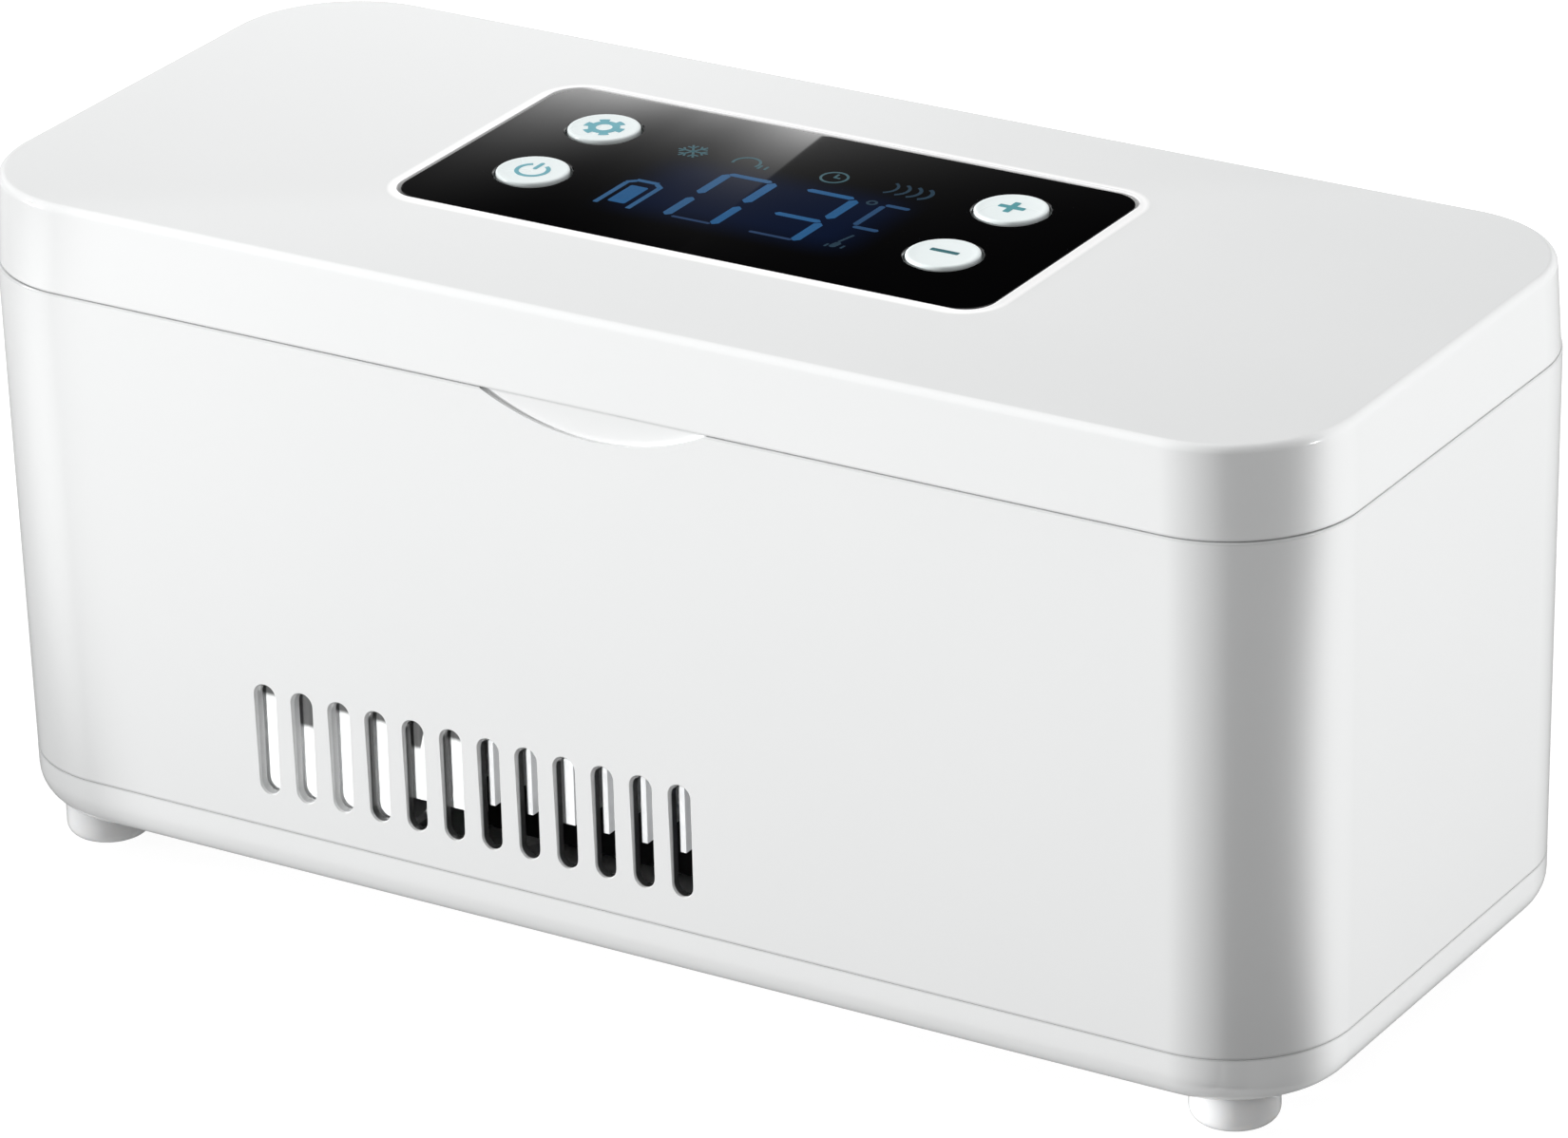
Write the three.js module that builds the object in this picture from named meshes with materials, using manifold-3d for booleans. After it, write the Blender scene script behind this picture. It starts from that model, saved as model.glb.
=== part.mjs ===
// Insulin cooling case: a white bench-top box with a hinged lid over a cold chamber.
// Millimetres, +Z up, X along the length, front face towards -Y, feet standing on Z = 0.
// A thermoelectric module under the chamber pumps heat into a finned heat sink. A fan under the
// fins draws air through the base and blows it out of the front and rear slots.

import * as THREE from 'three';
import { mergeVertices } from 'three/addons/utils/BufferGeometryUtils.js';
import Module from 'manifold-3d';

const wasm = await Module();
wasm.setup();

// Outer form
const caseLength = 205;
const caseDepth = 88.4;
const shellHeight = 92.8;
const lidHeight = 12.4;
const trayHeight = 7.6;
const planCornerRadius = 18.3;
const lidDraft = 0.5;
const bodyDraft = 1.0;
const lidEdgeRadius = 1;
const trayEdgeRadius = 5;

// Walls, gaps and the overrun of every cutting tool
const wall = 2.6;
const lidTopWall = 2.6;
const trayFloor = 2.5;
const partingGap = 0.4;
const fitGap = 0.3;
const overrun = 1;

// Feet
const footRadius = 6;
const footHeight = 4.6;
const footEdgeRadius = 1.7;
const footSocketDepth = 1.2;
const footStemRadius = 2.5;
const footHeadHeight = 1.4;
const footEndInset = 13.8;
const footSideInset = 10.8;

// Air slots, front and rear, and the intake grille under the fan
const slotCount = 12;
const slotPitch = 5.97;
const slotWidth = 3.07;
const slotHeight = 16.15;
const slotBottom = 12.75;
const firstSlotX = -53.9;
const slotWall = 1.6;
const slotReliefMargin = 1.5;
const grilleSlotWidth = 2.6;
const grillePitch = 5.2;
const grilleSlotCount = 7;
const grilleRadius = 20;

// Finger recess in the top edge of the front wall
const recessWidth = 34;
const recessDrop = 4.1;
const recessDepth = 1.1;
const recessX = 0.6;

// Screw posts of the body and the screws that hold the tray
const postEndInset = 9.9;
const postY = 18;
const postRadius = 4;
const postRise = 26;
const postRibWidth = 2;
const screwShankRadius = 1.3;
const screwHeadRadius = 2.7;
const screwHeadHeight = 1.8;
const screwLength = 12;
const screwHeadSink = 1;
const screwSlotWidth = 0.8;
const screwSlotMargin = 0.8;
const screwSlotDepth = 0.7;

// Lugs on the inside of the body that carry the bezel and the insulation
const lugLength = 12;
const lugReach = 3;
const lugHeight = 3;
const bezelLugX = 40;
const foamLugEndInset = 27.5;

// Cold chamber
const chamberEndMargin = 15;
const chamberSideMargin = 15.2;
const chamberCornerRadius = 9;
const chamberFloorRadius = 4;
const linerWall = 1.2;
const linerFlange = 2.6;
const bezelSink = 1.4;
const bezelThickness = 2;
const bezelMouthRadius = 10;

// Cold side: block and thermoelectric module
const blockLength = 44;
const blockHeight = 7.5;
const moduleScrewClearance = 1.3;
const moduleHeight = 3.4;
const modulePlate = 0.9;
const coldX = -20.6;

// Heat sink
const sinkBoardGap = 2.6;
const sinkRight = 16.2;
const sinkWallGap = 0.6;
const fanToFins = 2;
const sinkBase = 4.5;
const finThickness = 0.9;
const finPitch = 6;
const lastFinX = 9.9;
const wideFin = 3;
const wideFinThickness = 2.2;
const shortFin = 13.4;
const longFin = 18;
const sinkScrewX = 18;
const sinkScrewHeadRadius = 2.4;
const sinkScrewHeadHeight = 1.6;
const sinkScrewGrip = 4.5;

// Air baffle behind the slots beside the fan
const baffleThickness = 1.2;
const baffleSetback = 0.5;
const baffleWingRight = -21.6;
const baffleTopDrop = 3.2;
const baffleFoot = 7;

// Fan
const fanSize = 50;
const fanHeight = 10;
const fanCornerRadius = 4;
const fanX = -8.5;
const fanBoreRadius = 23.4;
const fanHoleSpacing = 40;
const fanHoleRadius = 2.1;
const fanStandoff = 2.6;
const fanStandoffRadius = 3.2;
const fanPegRadius = 1.7;
const fanPegHeight = 3;
const hubRadius = 11;
const hubPlate = 1.4;
const hubHeight = 7.4;
const strutWidth = 2.2;
const strutCount = 4;
const bladeCount = 7;
const bladeChord = 11.5;
const bladeThickness = 1;
const bladeTipGap = 0.8;
const bladeRootSink = 1;
const hubEdgeRadius = 1.2;
const bladeCamber = 1.3;
const bladeRootPitch = THREE.MathUtils.degToRad(38);
const bladeTipPitch = THREE.MathUtils.degToRad(27);

// Battery pack of round cells in a cradle of the tray
const cellRadius = 9.3;
const cellCount = 3;
const packWrap = 0.4;
const packEndCap = 1.2;
const packSinkGap = 4.6;
const packEndMargin = 16.7;
const packClearance = 1.1;
const cradleThickness = 2;
const cradleRise = 7;
const cradleInset = 9;

// Main board with its parts, and the power socket in the rear wall
const boardEndMargin = 14.5;
const boardLength = 28;
const boardSideMargin = 12.2;
const boardPartShare = 0.25;
const boardThickness = 1.6;
const boardStandoff = 4.6;
const boardPostRadius = 2.4;
const boardPostInset = 3.4;
const capacitorRadius = 4;
const capacitorPitch = 9.5;
const capacitorHeight = 11;
const inductorRadius = 6;
const inductorPitch = 13;
const inductorBore = 2.4;
const inductorHeight = 6.5;
const chipLength = 9;
const chipHeight = 1.8;
const socketBodyWidth = 9.4;
const socketBodyDepth = 12;
const socketBodyHeight = 11;
const socketNoseRadius = 4.2;
const socketBoreRadius = 3.1;
const socketBoreDepth = 9;
const socketPinRadius = 1;
const socketPinSink = 1.2;
const socketSink = 0.5;

// Hinges on the rear top edge of the body
const hingeEndInset = 50.5;
const hingeWidth = 30;
const lidKnuckleWidth = 14;
const knuckleRadius = 2.1;
const knuckleGap = 0.35;
const knuckleEndGap = 0.4;
const pinRadius = 0.9;
const pinHead = 0.5;
const gussetHeight = 6;

// Magnets that hold the lid shut
const magnetRadius = 2.5;
const magnetHeight = 2;
const magnetEndInset = 34.5;
const magnetInset = 4;
const magnetCover = 0.5;
const magnetCup = 0.8;

// Display window and what lies under it
const windowLength = 91.2;
const windowDepth = 45.3;
const windowThickness = 1.4;
const windowCornerRadius = 5;
const windowX = -1.9;
const windowY = 3.85;
const windowLedge = 2;
const lcdEndMargin = 22.6;
const lcdSideMargin = 9.15;
const lcdHeight = 4;
const lcdFrame = 1.6;
const lcdGlassDrop = 0.4;
const lcdShiftY = -1.6;
const displayBoardMargin = 2.6;
const displayBoardThickness = 1.2;
const displayPostRadius = 2.4;
const displayStakeRadius = 1;
const displayStakeHeight = 2;

// Buttons
const buttonRadius = 5;
const buttonGap = 0.3;
const buttonProud = 0.4;
const buttonEdgeRadius = 0.3;
const buttonFlange = 0.9;
const buttonFlangeThickness = 0.9;
const buttonStemRadius = 2;
const buttonTravel = 0.5;
const buttonEndInset = 13.8;
const buttonSideInset = 13.75;
const buttonMiddleX = -2.2;
const buttonMiddleY = 5.4;
const switchLength = 6;
const switchHeight = 1.6;

// Inside of the lid
const panelThickness = 2;
const panelLift = 0.2;
const gasketWidth = 3;
const gasketGroove = 0.8;
const gasketMargin = 2.4;
const gasketLift = 0.2;
const gasketEdge = 0.6;
const foamTopGap = 0.4;
const foamPocketMargin = 1.5;
const lidPostEndInset = 18.5;
const lidPostY = 0;
const lidPostRadius = 3;
const lidScrewLength = 7;
const lidScrewHeadRadius = 2.3;
const lidScrewHeadHeight = 1.2;

// Facet counts
const cornerSteps = 4;
const edgeSteps = 3;
const innerSteps = 3;
const roundSteps = 18;
const smallSteps = 8;
const shankSteps = 5;
const softSteps = 1;
const slotSteps = 1;

// Heights that follow from the sizes above
const trayBottom = footHeight;
const trayTop = trayBottom + trayHeight;
const trayInside = trayBottom + trayFloor;
const bodyBottom = trayTop + fitGap;
const caseTop = trayBottom + shellHeight;
const lidBottom = caseTop - lidHeight;
const bodyTop = lidBottom - partingGap;
const bezelTop = bodyTop - bezelSink;
const bezelBottom = bezelTop - bezelThickness;
const linerTop = bezelBottom - fitGap;
const fanBottom = trayInside + fanStandoff + fitGap;
const fanTop = fanBottom + fanHeight;
const sinkUnder = fanTop + fanToFins + shortFin;
const sinkTop = sinkUnder + sinkBase;
const moduleBottom = sinkTop + fitGap;
const moduleTop = moduleBottom + moduleHeight;
const blockBottom = moduleTop + fitGap;
const blockTop = blockBottom + blockHeight;
const linerBottom = blockTop + fitGap;
const chamberFloor = linerBottom + linerWall;
const foamBottom = moduleBottom;
const foamTop = linerTop - linerWall - fitGap;
const boardBottom = trayInside + boardStandoff + fitGap;
const boardTop = boardBottom + boardThickness;
const windowBottom = caseTop - windowThickness;
const pocketFloor = windowBottom - fitGap;
const flangeTop = windowBottom - fitGap;
const flangeBottom = flangeTop - buttonFlangeThickness;
const lidCeiling = caseTop - lidTopWall;
const lcdTop = windowBottom - fitGap;
const lcdBottom = lcdTop - lcdHeight;
const displayBoardTop = lcdBottom - fitGap;
const displayBoardBottom = displayBoardTop - displayBoardThickness;
const switchTop = displayBoardTop + switchHeight;
const stemBottom = switchTop + fitGap + buttonTravel;
const panelBottom = lidBottom + panelLift;
const panelTop = panelBottom + panelThickness;

// Plan places that follow from the sizes above
const rearY = caseDepth / 2;
const pinZ = bodyTop + partingGap / 2;
const quarter = Math.PI / 2;
const insideY = caseDepth / 2 - wall;
const footX = caseLength / 2 - footEndInset;
const footY = caseDepth / 2 - footSideInset;
const postX = caseLength / 2 - postEndInset;
const foamLugX = caseLength / 2 - foamLugEndInset;
const magnetX = caseLength / 2 - magnetEndInset;
const hingeX = caseLength / 2 - hingeEndInset;
const lidPostX = caseLength / 2 - lidPostEndInset;
const chamberLength = caseLength - 2 * chamberEndMargin;
const chamberWidth = caseDepth - 2 * chamberSideMargin;
const boardLeft = boardEndMargin - caseLength / 2;
const boardDepth = caseDepth - 2 * boardSideMargin;
const socketX = boardLeft + boardLength / 2;
const sinkLeft = boardLeft + boardLength + sinkBoardGap;
const sinkDepth = 2 * (insideY - bodyDraft - sinkWallGap);
const finCount = 1 + Math.floor((lastFinX - finThickness - sinkLeft) / finPitch);
const packLeft = sinkRight + packSinkGap;
const cellLength = caseLength / 2 - packEndMargin - packLeft;
const lcdLength = windowLength - 2 * lcdEndMargin;
const lcdDepth = windowDepth - 2 * lcdSideMargin;
const buttonPitchX = windowLength - 2 * buttonEndInset;
const buttonPitchY = windowDepth - 2 * buttonSideInset;

// Materials
const whiteGloss = new THREE.MeshStandardMaterial({ color: 0xf4f5f5, roughness: 0.18, metalness: 0 });
const whiteMatt = new THREE.MeshStandardMaterial({ color: 0xe9ebea, roughness: 0.5, metalness: 0 });
const footPlastic = new THREE.MeshStandardMaterial({ color: 0xf0f1f1, roughness: 0.12, metalness: 0 });
const blackGlass = new THREE.MeshStandardMaterial({ color: 0x0a0b0c, roughness: 0.05, metalness: 0 });
const buttonPlastic = new THREE.MeshStandardMaterial({ color: 0xf4fbfb, roughness: 0.3, metalness: 0 });
const blackPlastic = new THREE.MeshStandardMaterial({ color: 0x17181a, roughness: 0.45, metalness: 0 });
const aluminium = new THREE.MeshStandardMaterial({ color: 0xc8cbce, roughness: 0.35, metalness: 1 });
const steel = new THREE.MeshStandardMaterial({ color: 0xb9bcc0, roughness: 0.3, metalness: 1 });
const ceramic = new THREE.MeshStandardMaterial({ color: 0xf2f1ea, roughness: 0.6, metalness: 0 });
const boardGreen = new THREE.MeshStandardMaterial({ color: 0x1f6b45, roughness: 0.5, metalness: 0 });
const foamGrey = new THREE.MeshStandardMaterial({ color: 0xd9dadb, roughness: 0.9, metalness: 0 });
const rubber = new THREE.MeshStandardMaterial({ color: 0xb9bcbf, roughness: 0.7, metalness: 0 });
const wrapBlue = new THREE.MeshStandardMaterial({ color: 0x2b5fae, roughness: 0.3, metalness: 0 });
const lcdDark = new THREE.MeshStandardMaterial({ color: 0x0d1a3c, roughness: 0.2, metalness: 0 });

// A closed three.js geometry as a solid that can be cut and joined.
// Triangles without area go, and a geometry that is wound inwards is turned round.
function solid(geometry) {
  const bare = geometry.clone();
  bare.deleteAttribute('normal');
  bare.deleteAttribute('uv');
  const merged = mergeVertices(bare);
  const position = merged.getAttribute('position');
  const index = merged.getIndex();
  const corner = (k) => new THREE.Vector3().fromBufferAttribute(position, k);
  const triangles = [];
  let volume = 0;
  for (let i = 0; i < index.count; i += 3) {
    const [a, b, c] = [index.getX(i), index.getX(i + 1), index.getX(i + 2)];
    if (a === b || b === c || c === a) continue;
    triangles.push([a, b, c]);
    volume += corner(a).dot(corner(b).cross(corner(c)));
  }
  const wound = volume < 0 ? triangles.map(([a, b, c]) => [a, c, b]) : triangles;
  return new wasm.Manifold(new wasm.Mesh({
    numProp: 3,
    vertProperties: new Float32Array(position.array),
    triVerts: new Uint32Array(wound.flat()),
  }));
}

const joined = (solids) => solids.reduce((whole, next) => whole.add(next));
const cutBy = (body, tools) => tools.reduce((left, tool) => left.subtract(tool), body);

// A rounded rectangle about a middle point
function roundedRectangle(length, depth, radius, middleX = 0, middleY = 0) {
  const shape = new THREE.Shape();
  const x = length / 2 - radius;
  const y = depth / 2 - radius;
  shape.absarc(middleX + x, middleY - y, radius, -quarter, 0, false);
  shape.absarc(middleX + x, middleY + y, radius, 0, quarter, false);
  shape.absarc(middleX - x, middleY + y, radius, quarter, 2 * quarter, false);
  shape.absarc(middleX - x, middleY - y, radius, 2 * quarter, 3 * quarter, false);
  shape.closePath();
  return shape;
}

// A straight extrusion of a shape in the XY plane between two heights
function plate(shape, bottom, top, steps = cornerSteps) {
  const geometry = new THREE.ExtrudeGeometry(shape, {
    depth: top - bottom, bevelEnabled: false, curveSegments: steps,
  });
  geometry.translate(0, 0, bottom);
  return solid(geometry);
}

// A box between two heights, about a middle point in plan
function box(length, depth, bottom, top, middleX = 0, middleY = 0) {
  const geometry = new THREE.BoxGeometry(length, depth, top - bottom);
  geometry.translate(middleX, middleY, (top + bottom) / 2);
  return solid(geometry);
}

// An upright cylinder between two heights
function cylinder(radius, bottom, top, x = 0, y = 0, steps = smallSteps) {
  const geometry = new THREE.CylinderGeometry(radius, radius, top - bottom, steps);
  geometry.rotateX(quarter);
  geometry.translate(x, y, (top + bottom) / 2);
  return solid(geometry);
}

// A cylinder along X on the hinge axis
function hingeRod(radius, left, right, steps = roundSteps) {
  const geometry = new THREE.CylinderGeometry(radius, radius, right - left, steps);
  geometry.rotateZ(quarter);
  geometry.translate((left + right) / 2, rearY, pinZ);
  return solid(geometry);
}

// A turned solid from a profile of [radius, height] points that starts and ends on the axis
function turned(profile, x = 0, y = 0, steps = roundSteps) {
  const points = profile.map(([radius, height]) => new THREE.Vector2(radius, height));
  const geometry = new THREE.LatheGeometry(points, steps);
  geometry.rotateX(quarter);
  geometry.translate(x, y, 0);
  return solid(geometry);
}

// A quarter circle of [offset, rise] points for a rounded edge, from flat to upright
function edgeArc(radius, steps = edgeSteps) {
  return Array.from({ length: steps + 1 }, (_, k) => {
    const angle = quarter * k / steps;
    return [radius * (1 - Math.sin(angle)), radius * (1 - Math.cos(angle))];
  });
}

// A solid through sections of equal point count, each a list of points with its height
function loft(sections) {
  const count = sections[0].points.length;
  const vertices = sections.flatMap(({ points, height }) => points.flatMap((p) => [p.x, p.y, height]));
  const triangles = [];
  for (let level = 0; level + 1 < sections.length; level += 1) {
    for (let k = 0; k < count; k += 1) {
      const here = level * count + k;
      const next = level * count + (k + 1) % count;
      triangles.push([here, next, next + count], [here, next + count, here + count]);
    }
  }
  const last = (sections.length - 1) * count;
  for (const [a, b, c] of THREE.ShapeUtils.triangulateShape(sections[0].points, [])) {
    triangles.push([a, c, b]);
  }
  for (const [a, b, c] of THREE.ShapeUtils.triangulateShape(sections[sections.length - 1].points, [])) {
    triangles.push([last + a, last + b, last + c]);
  }
  const geometry = new THREE.BufferGeometry();
  geometry.setAttribute('position', new THREE.Float32BufferAttribute(vertices, 3));
  geometry.setIndex(triangles.flat());
  return solid(geometry);
}

// A rounded box whose sides follow a list of [inset, height] points
function drafted(length, depth, radius, profile, steps = cornerSteps) {
  return loft(profile.map(([inset, height]) => ({
    height,
    points: roundedRectangle(length - 2 * inset, depth - 2 * inset, radius - inset).getPoints(steps).slice(0, -1),
  })));
}

// A slot with round ends, cut through a wall that faces Y
function wallSlot(x, bottom, inner, outer) {
  const shape = roundedRectangle(slotWidth, slotHeight, slotWidth / 2);
  const geometry = new THREE.ExtrudeGeometry(shape, {
    depth: Math.abs(outer - inner), bevelEnabled: false, curveSegments: slotSteps,
  });
  geometry.rotateX(quarter);
  geometry.translate(x, Math.max(inner, outer), bottom + slotHeight / 2);
  return solid(geometry);
}

// How far the sides of the body and tray stand in from the full outline at a height
const bodyInset = (height) => bodyDraft * (bodyTop - height) / (bodyTop - trayBottom);
const lidInset = (height) => lidDraft * (height - lidBottom) / lidHeight;

// Every piece goes into one group, moved so that the middle of its outline is over the origin
const group = new THREE.Group();
group.position.y = -knuckleRadius / 2;

function piece(name, body, material) {
  const { vertProperties, triVerts } = body.getMesh();
  const geometry = new THREE.BufferGeometry();
  geometry.setAttribute('position', new THREE.BufferAttribute(vertProperties, 3));
  geometry.setIndex(new THREE.BufferAttribute(triVerts, 1));
  geometry.computeVertexNormals();
  const mesh = new THREE.Mesh(geometry, material);
  mesh.name = name;
  group.add(mesh);
}

const sides = [['left', -1], ['right', 1]];
const ends = [['front', -1], ['rear', 1]];
const corners = ends.flatMap(([end, y]) => sides.map(([side, x]) => [`${end}_${side}`, x, y]));

// Hinge knuckles: the body has the two outer ones of each hinge, and the lid the one between
const bodyKnuckles = [];
const lidKnuckles = [];
for (const [, side] of sides) {
  const middle = side * hingeX;
  const inner = lidKnuckleWidth / 2;
  const outer = hingeWidth / 2;
  lidKnuckles.push([middle - inner, middle + inner]);
  bodyKnuckles.push([middle - outer, middle - inner - knuckleEndGap]);
  bodyKnuckles.push([middle + inner + knuckleEndGap, middle + outer]);
}

// One knuckle: a rod on the axis with a gusset that runs into the rear wall, down for the body
// and up for the lid
function knuckle([left, right], rise, inset) {
  const profile = new THREE.Shape();
  profile.moveTo(knuckleRadius, 0);
  profile.lineTo(-inset, rise);
  profile.lineTo(-wall, rise);
  profile.lineTo(-wall, Math.sign(rise) * partingGap);
  profile.lineTo(0, 0);
  profile.closePath();
  const geometry = new THREE.ExtrudeGeometry(profile, { depth: right - left, bevelEnabled: false });
  geometry.rotateX(quarter);
  geometry.rotateZ(quarter);
  geometry.translate(left, rearY, pinZ);
  return hingeRod(knuckleRadius, left, right).add(solid(geometry));
}

function knuckleNotch([left, right]) {
  return hingeRod(knuckleRadius + knuckleGap, left - knuckleEndGap, right + knuckleEndGap);
}

const pinHole = hingeRod(pinRadius + fitGap, -caseLength / 2, caseLength / 2, smallSteps);

// The rib between a screw post and the end wall, grown by a margin where the tray makes room for it
function postRib(x, y, margin) {
  const length = caseLength / 2 - wall / 2 - bodyDraft - postX;
  return box(length, postRibWidth + 2 * margin, bodyBottom - margin, bodyBottom + postRise,
    x * (postX + length / 2), y * postY);
}

// Body shell: a drafted wall, open above and below, with posts, lugs, slots and knuckles
function bodyShell() {
  const outside = drafted(caseLength, caseDepth, planCornerRadius, [
    [bodyInset(bodyBottom), bodyBottom], [bodyInset(bodyTop), bodyTop],
  ]);
  const inside = drafted(caseLength, caseDepth, planCornerRadius, [
    [bodyInset(bodyBottom - overrun) + wall, bodyBottom - overrun],
    [bodyInset(bodyTop + overrun) + wall, bodyTop + overrun],
  ], innerSteps);
  const fittings = [];
  for (const [, x, y] of corners) {
    fittings.push(cylinder(postRadius, bodyBottom, bodyBottom + postRise, x * postX, y * postY));
    fittings.push(postRib(x, y, 0));
    for (const [top, lugX] of [[bezelBottom - fitGap, bezelLugX], [foamBottom - fitGap, foamLugX]]) {
      const root = wall / 2;
    const reachY = insideY - bodyInset(top) - (lugReach - root) / 2;
      fittings.push(box(lugLength, lugReach + root, top - lugHeight, top, x * lugX, y * reachY));
    }
  }
  const outerFace = (y) => y * (caseDepth / 2 + overrun);
  const slots = [];
  for (const [, y] of ends) {
    for (let k = 0; k < slotCount; k += 1) {
      slots.push(wallSlot(firstSlotX + k * slotPitch, trayBottom + slotBottom, outerFace(y),
        y * (insideY - bodyDraft - overrun)));
    }
  }
  const slotMiddle = trayBottom + slotBottom + slotHeight / 2;
  const reliefOuter = caseDepth / 2 - bodyInset(slotMiddle) - slotWall;
  const reliefDepth = wall + overrun;
  const reliefReach = slotHeight / 2 + slotReliefMargin;
  for (const [, y] of ends) {
    slots.push(box((slotCount - 1) * slotPitch + slotWidth + 2 * slotReliefMargin, reliefDepth,
      slotMiddle - reliefReach, slotMiddle + reliefReach,
      firstSlotX + (slotCount - 1) * slotPitch / 2, y * (reliefOuter - reliefDepth / 2)));
  }
  const recessRadius = (recessDrop ** 2 + (recessWidth / 2) ** 2) / (2 * recessDrop);
  const recess = new THREE.CylinderGeometry(recessRadius, recessRadius, recessDepth + overrun, 2 * roundSteps);
  recess.translate(recessX, -rearY + recessDepth - (recessDepth + overrun) / 2,
    bodyTop - recessDrop + recessRadius);
  const holes = corners.map(([, x, y]) =>
    cylinder(screwShankRadius + fitGap, bodyBottom - overrun, trayBottom + screwHeadSink + screwLength + overrun,
      x * postX, y * postY));
  const socketHole = new THREE.CylinderGeometry(socketNoseRadius + fitGap, socketNoseRadius + fitGap,
    wall + bodyDraft + 2 * overrun, roundSteps);
  socketHole.translate(socketX, rearY - (wall + bodyDraft) / 2, boardTop + fitGap + socketBodyHeight / 2);
  const wallRing = cutBy(outside.subtract(inside).add(joined(fittings)).intersect(
    drafted(caseLength, caseDepth, planCornerRadius, [
      [bodyInset(bodyBottom), bodyBottom], [bodyInset(bodyTop), bodyTop],
    ])), [...slots, solid(recess), ...holes, solid(socketHole), ...lidKnuckles.map(knuckleNotch)]);
  return cutBy(wallRing.add(joined(bodyKnuckles.map((span) => knuckle(span, -gussetHeight, 0)))), [pinHole]);
}
piece('body_shell', bodyShell(), whiteGloss);

// Base tray: a floor with a rounded lower edge, a locating lip, the intake grille and every seat
function baseTray() {
  const floorArc = edgeArc(trayEdgeRadius).map(([inset, rise]) =>
    [inset + bodyInset(trayBottom + rise), trayBottom + rise]);
  const outside = drafted(caseLength, caseDepth, planCornerRadius,
    [...floorArc, [bodyInset(trayTop), trayTop]]);
  const lip = drafted(caseLength, caseDepth, planCornerRadius, [
    [bodyInset(trayTop) + wall + fitGap, trayTop - overrun], [bodyInset(trayTop) + wall + fitGap, trayTop + wall],
  ], innerSteps);
  const insideArc = edgeArc(trayEdgeRadius - trayFloor, softSteps).map(([inset, rise]) =>
    [inset + bodyInset(trayInside) + 2 * wall, trayInside + rise]);
  const inside = drafted(caseLength, caseDepth, planCornerRadius,
    [...insideArc, [bodyInset(trayInside) + 2 * wall, trayTop + wall + overrun]], innerSteps);
  const seats = [];
  const holes = [];
  for (const [, x, y] of corners) {
    seats.push(cylinder(postRadius, trayInside - overrun, trayTop, x * postX, y * postY));
    holes.push(cylinder(postRadius + fitGap, trayTop, trayTop + wall + overrun, x * postX, y * postY));
    holes.push(postRib(x, y, fitGap));
    holes.push(cylinder(screwShankRadius + fitGap, trayBottom - overrun, trayTop + overrun, x * postX, y * postY));
    holes.push(cylinder(screwHeadRadius + fitGap, trayBottom - overrun,
      trayBottom + screwHeadSink + screwHeadHeight + fitGap, x * postX, y * postY));
    holes.push(cylinder(footRadius + fitGap, trayBottom - overrun, trayBottom + footSocketDepth,
      x * footX, y * footY, roundSteps));
    holes.push(cylinder(footStemRadius + fitGap, trayBottom, trayInside + footHeadHeight + fitGap,
      x * footX, y * footY, roundSteps));
    const fanHole = fanHoleSpacing / 2;
    seats.push(cylinder(fanStandoffRadius, trayInside - overrun, trayInside + fanStandoff,
      fanX + x * fanHole, y * fanHole));
    seats.push(cylinder(fanPegRadius, trayInside, trayInside + fanStandoff + fanPegHeight,
      fanX + x * fanHole, y * fanHole));
    seats.push(cylinder(boardPostRadius, trayInside - overrun, trayInside + boardStandoff,
      boardLeft + boardLength / 2 + x * (boardLength / 2 - boardPostInset),
      y * (boardDepth / 2 - boardPostInset)));
  }
  holes.push(box(socketBodyWidth + 2 * fitGap, socketBodyDepth, trayTop, trayTop + wall + overrun,
    socketX, insideY - socketBodyDepth / 2));
  const packWidth = 2 * cellRadius * cellCount;
  for (const x of [packLeft + cradleInset, packLeft + cellLength - cradleInset]) {
    seats.push(box(cradleThickness, packWidth, trayInside - overrun, trayInside + cradleRise, x));
  }
  const hollow = packShape(packWrap + fitGap);
  for (let k = 0; k < grilleSlotCount; k += 1) {
    const y = (k - (grilleSlotCount - 1) / 2) * grillePitch;
    const length = 2 * Math.sqrt(grilleRadius ** 2 - y ** 2);
    holes.push(plate(roundedRectangle(length, grilleSlotWidth, grilleSlotWidth / 2, fanX, y),
      trayBottom - overrun, trayInside + overrun, slotSteps));
  }
  const ring = cutBy(outside.add(lip), [inside]);
  return cutBy(ring.add(joined(seats)), [...holes, hollow]);
}

// The wrapped cells side by side, grown by a margin, lying along X
function packShape(margin) {
  const middle = trayInside + packClearance + packWrap + cellRadius;
  const first = -(cellCount - 1) * cellRadius;
  const start = packLeft - packEndCap - margin;
  const length = cellLength + 2 * (packEndCap + margin);
  const cells = Array.from({ length: cellCount }, (_, k) => {
    const geometry = new THREE.CylinderGeometry(cellRadius + margin, cellRadius + margin, length, roundSteps);
    geometry.rotateZ(quarter);
    geometry.translate(start + length / 2, first + 2 * k * cellRadius, middle);
    return solid(geometry);
  });
  const web = box(length, -2 * first, middle - cellRadius / 2 - margin, middle + cellRadius / 2 + margin,
    start + length / 2);
  return joined([...cells, web]);
}
piece('base_tray', baseTray(), whiteGloss);

// Feet: a round pad with a rolled lower edge, a socket fit and a stem through the floor
function foot(x, y) {
  const edge = edgeArc(footEdgeRadius).map(([inset, rise]) => [footRadius - inset, rise]);
  const seat = trayBottom + footSocketDepth - fitGap;
  return turned([
    [0, 0], ...edge, [footRadius, seat], [footStemRadius, seat],
    [footStemRadius, trayInside + footHeadHeight], [0, trayInside + footHeadHeight],
  ], x, y);
}
for (const [name, x, y] of corners) piece(`foot_${name}`, foot(x * footX, y * footY), footPlastic);

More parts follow.
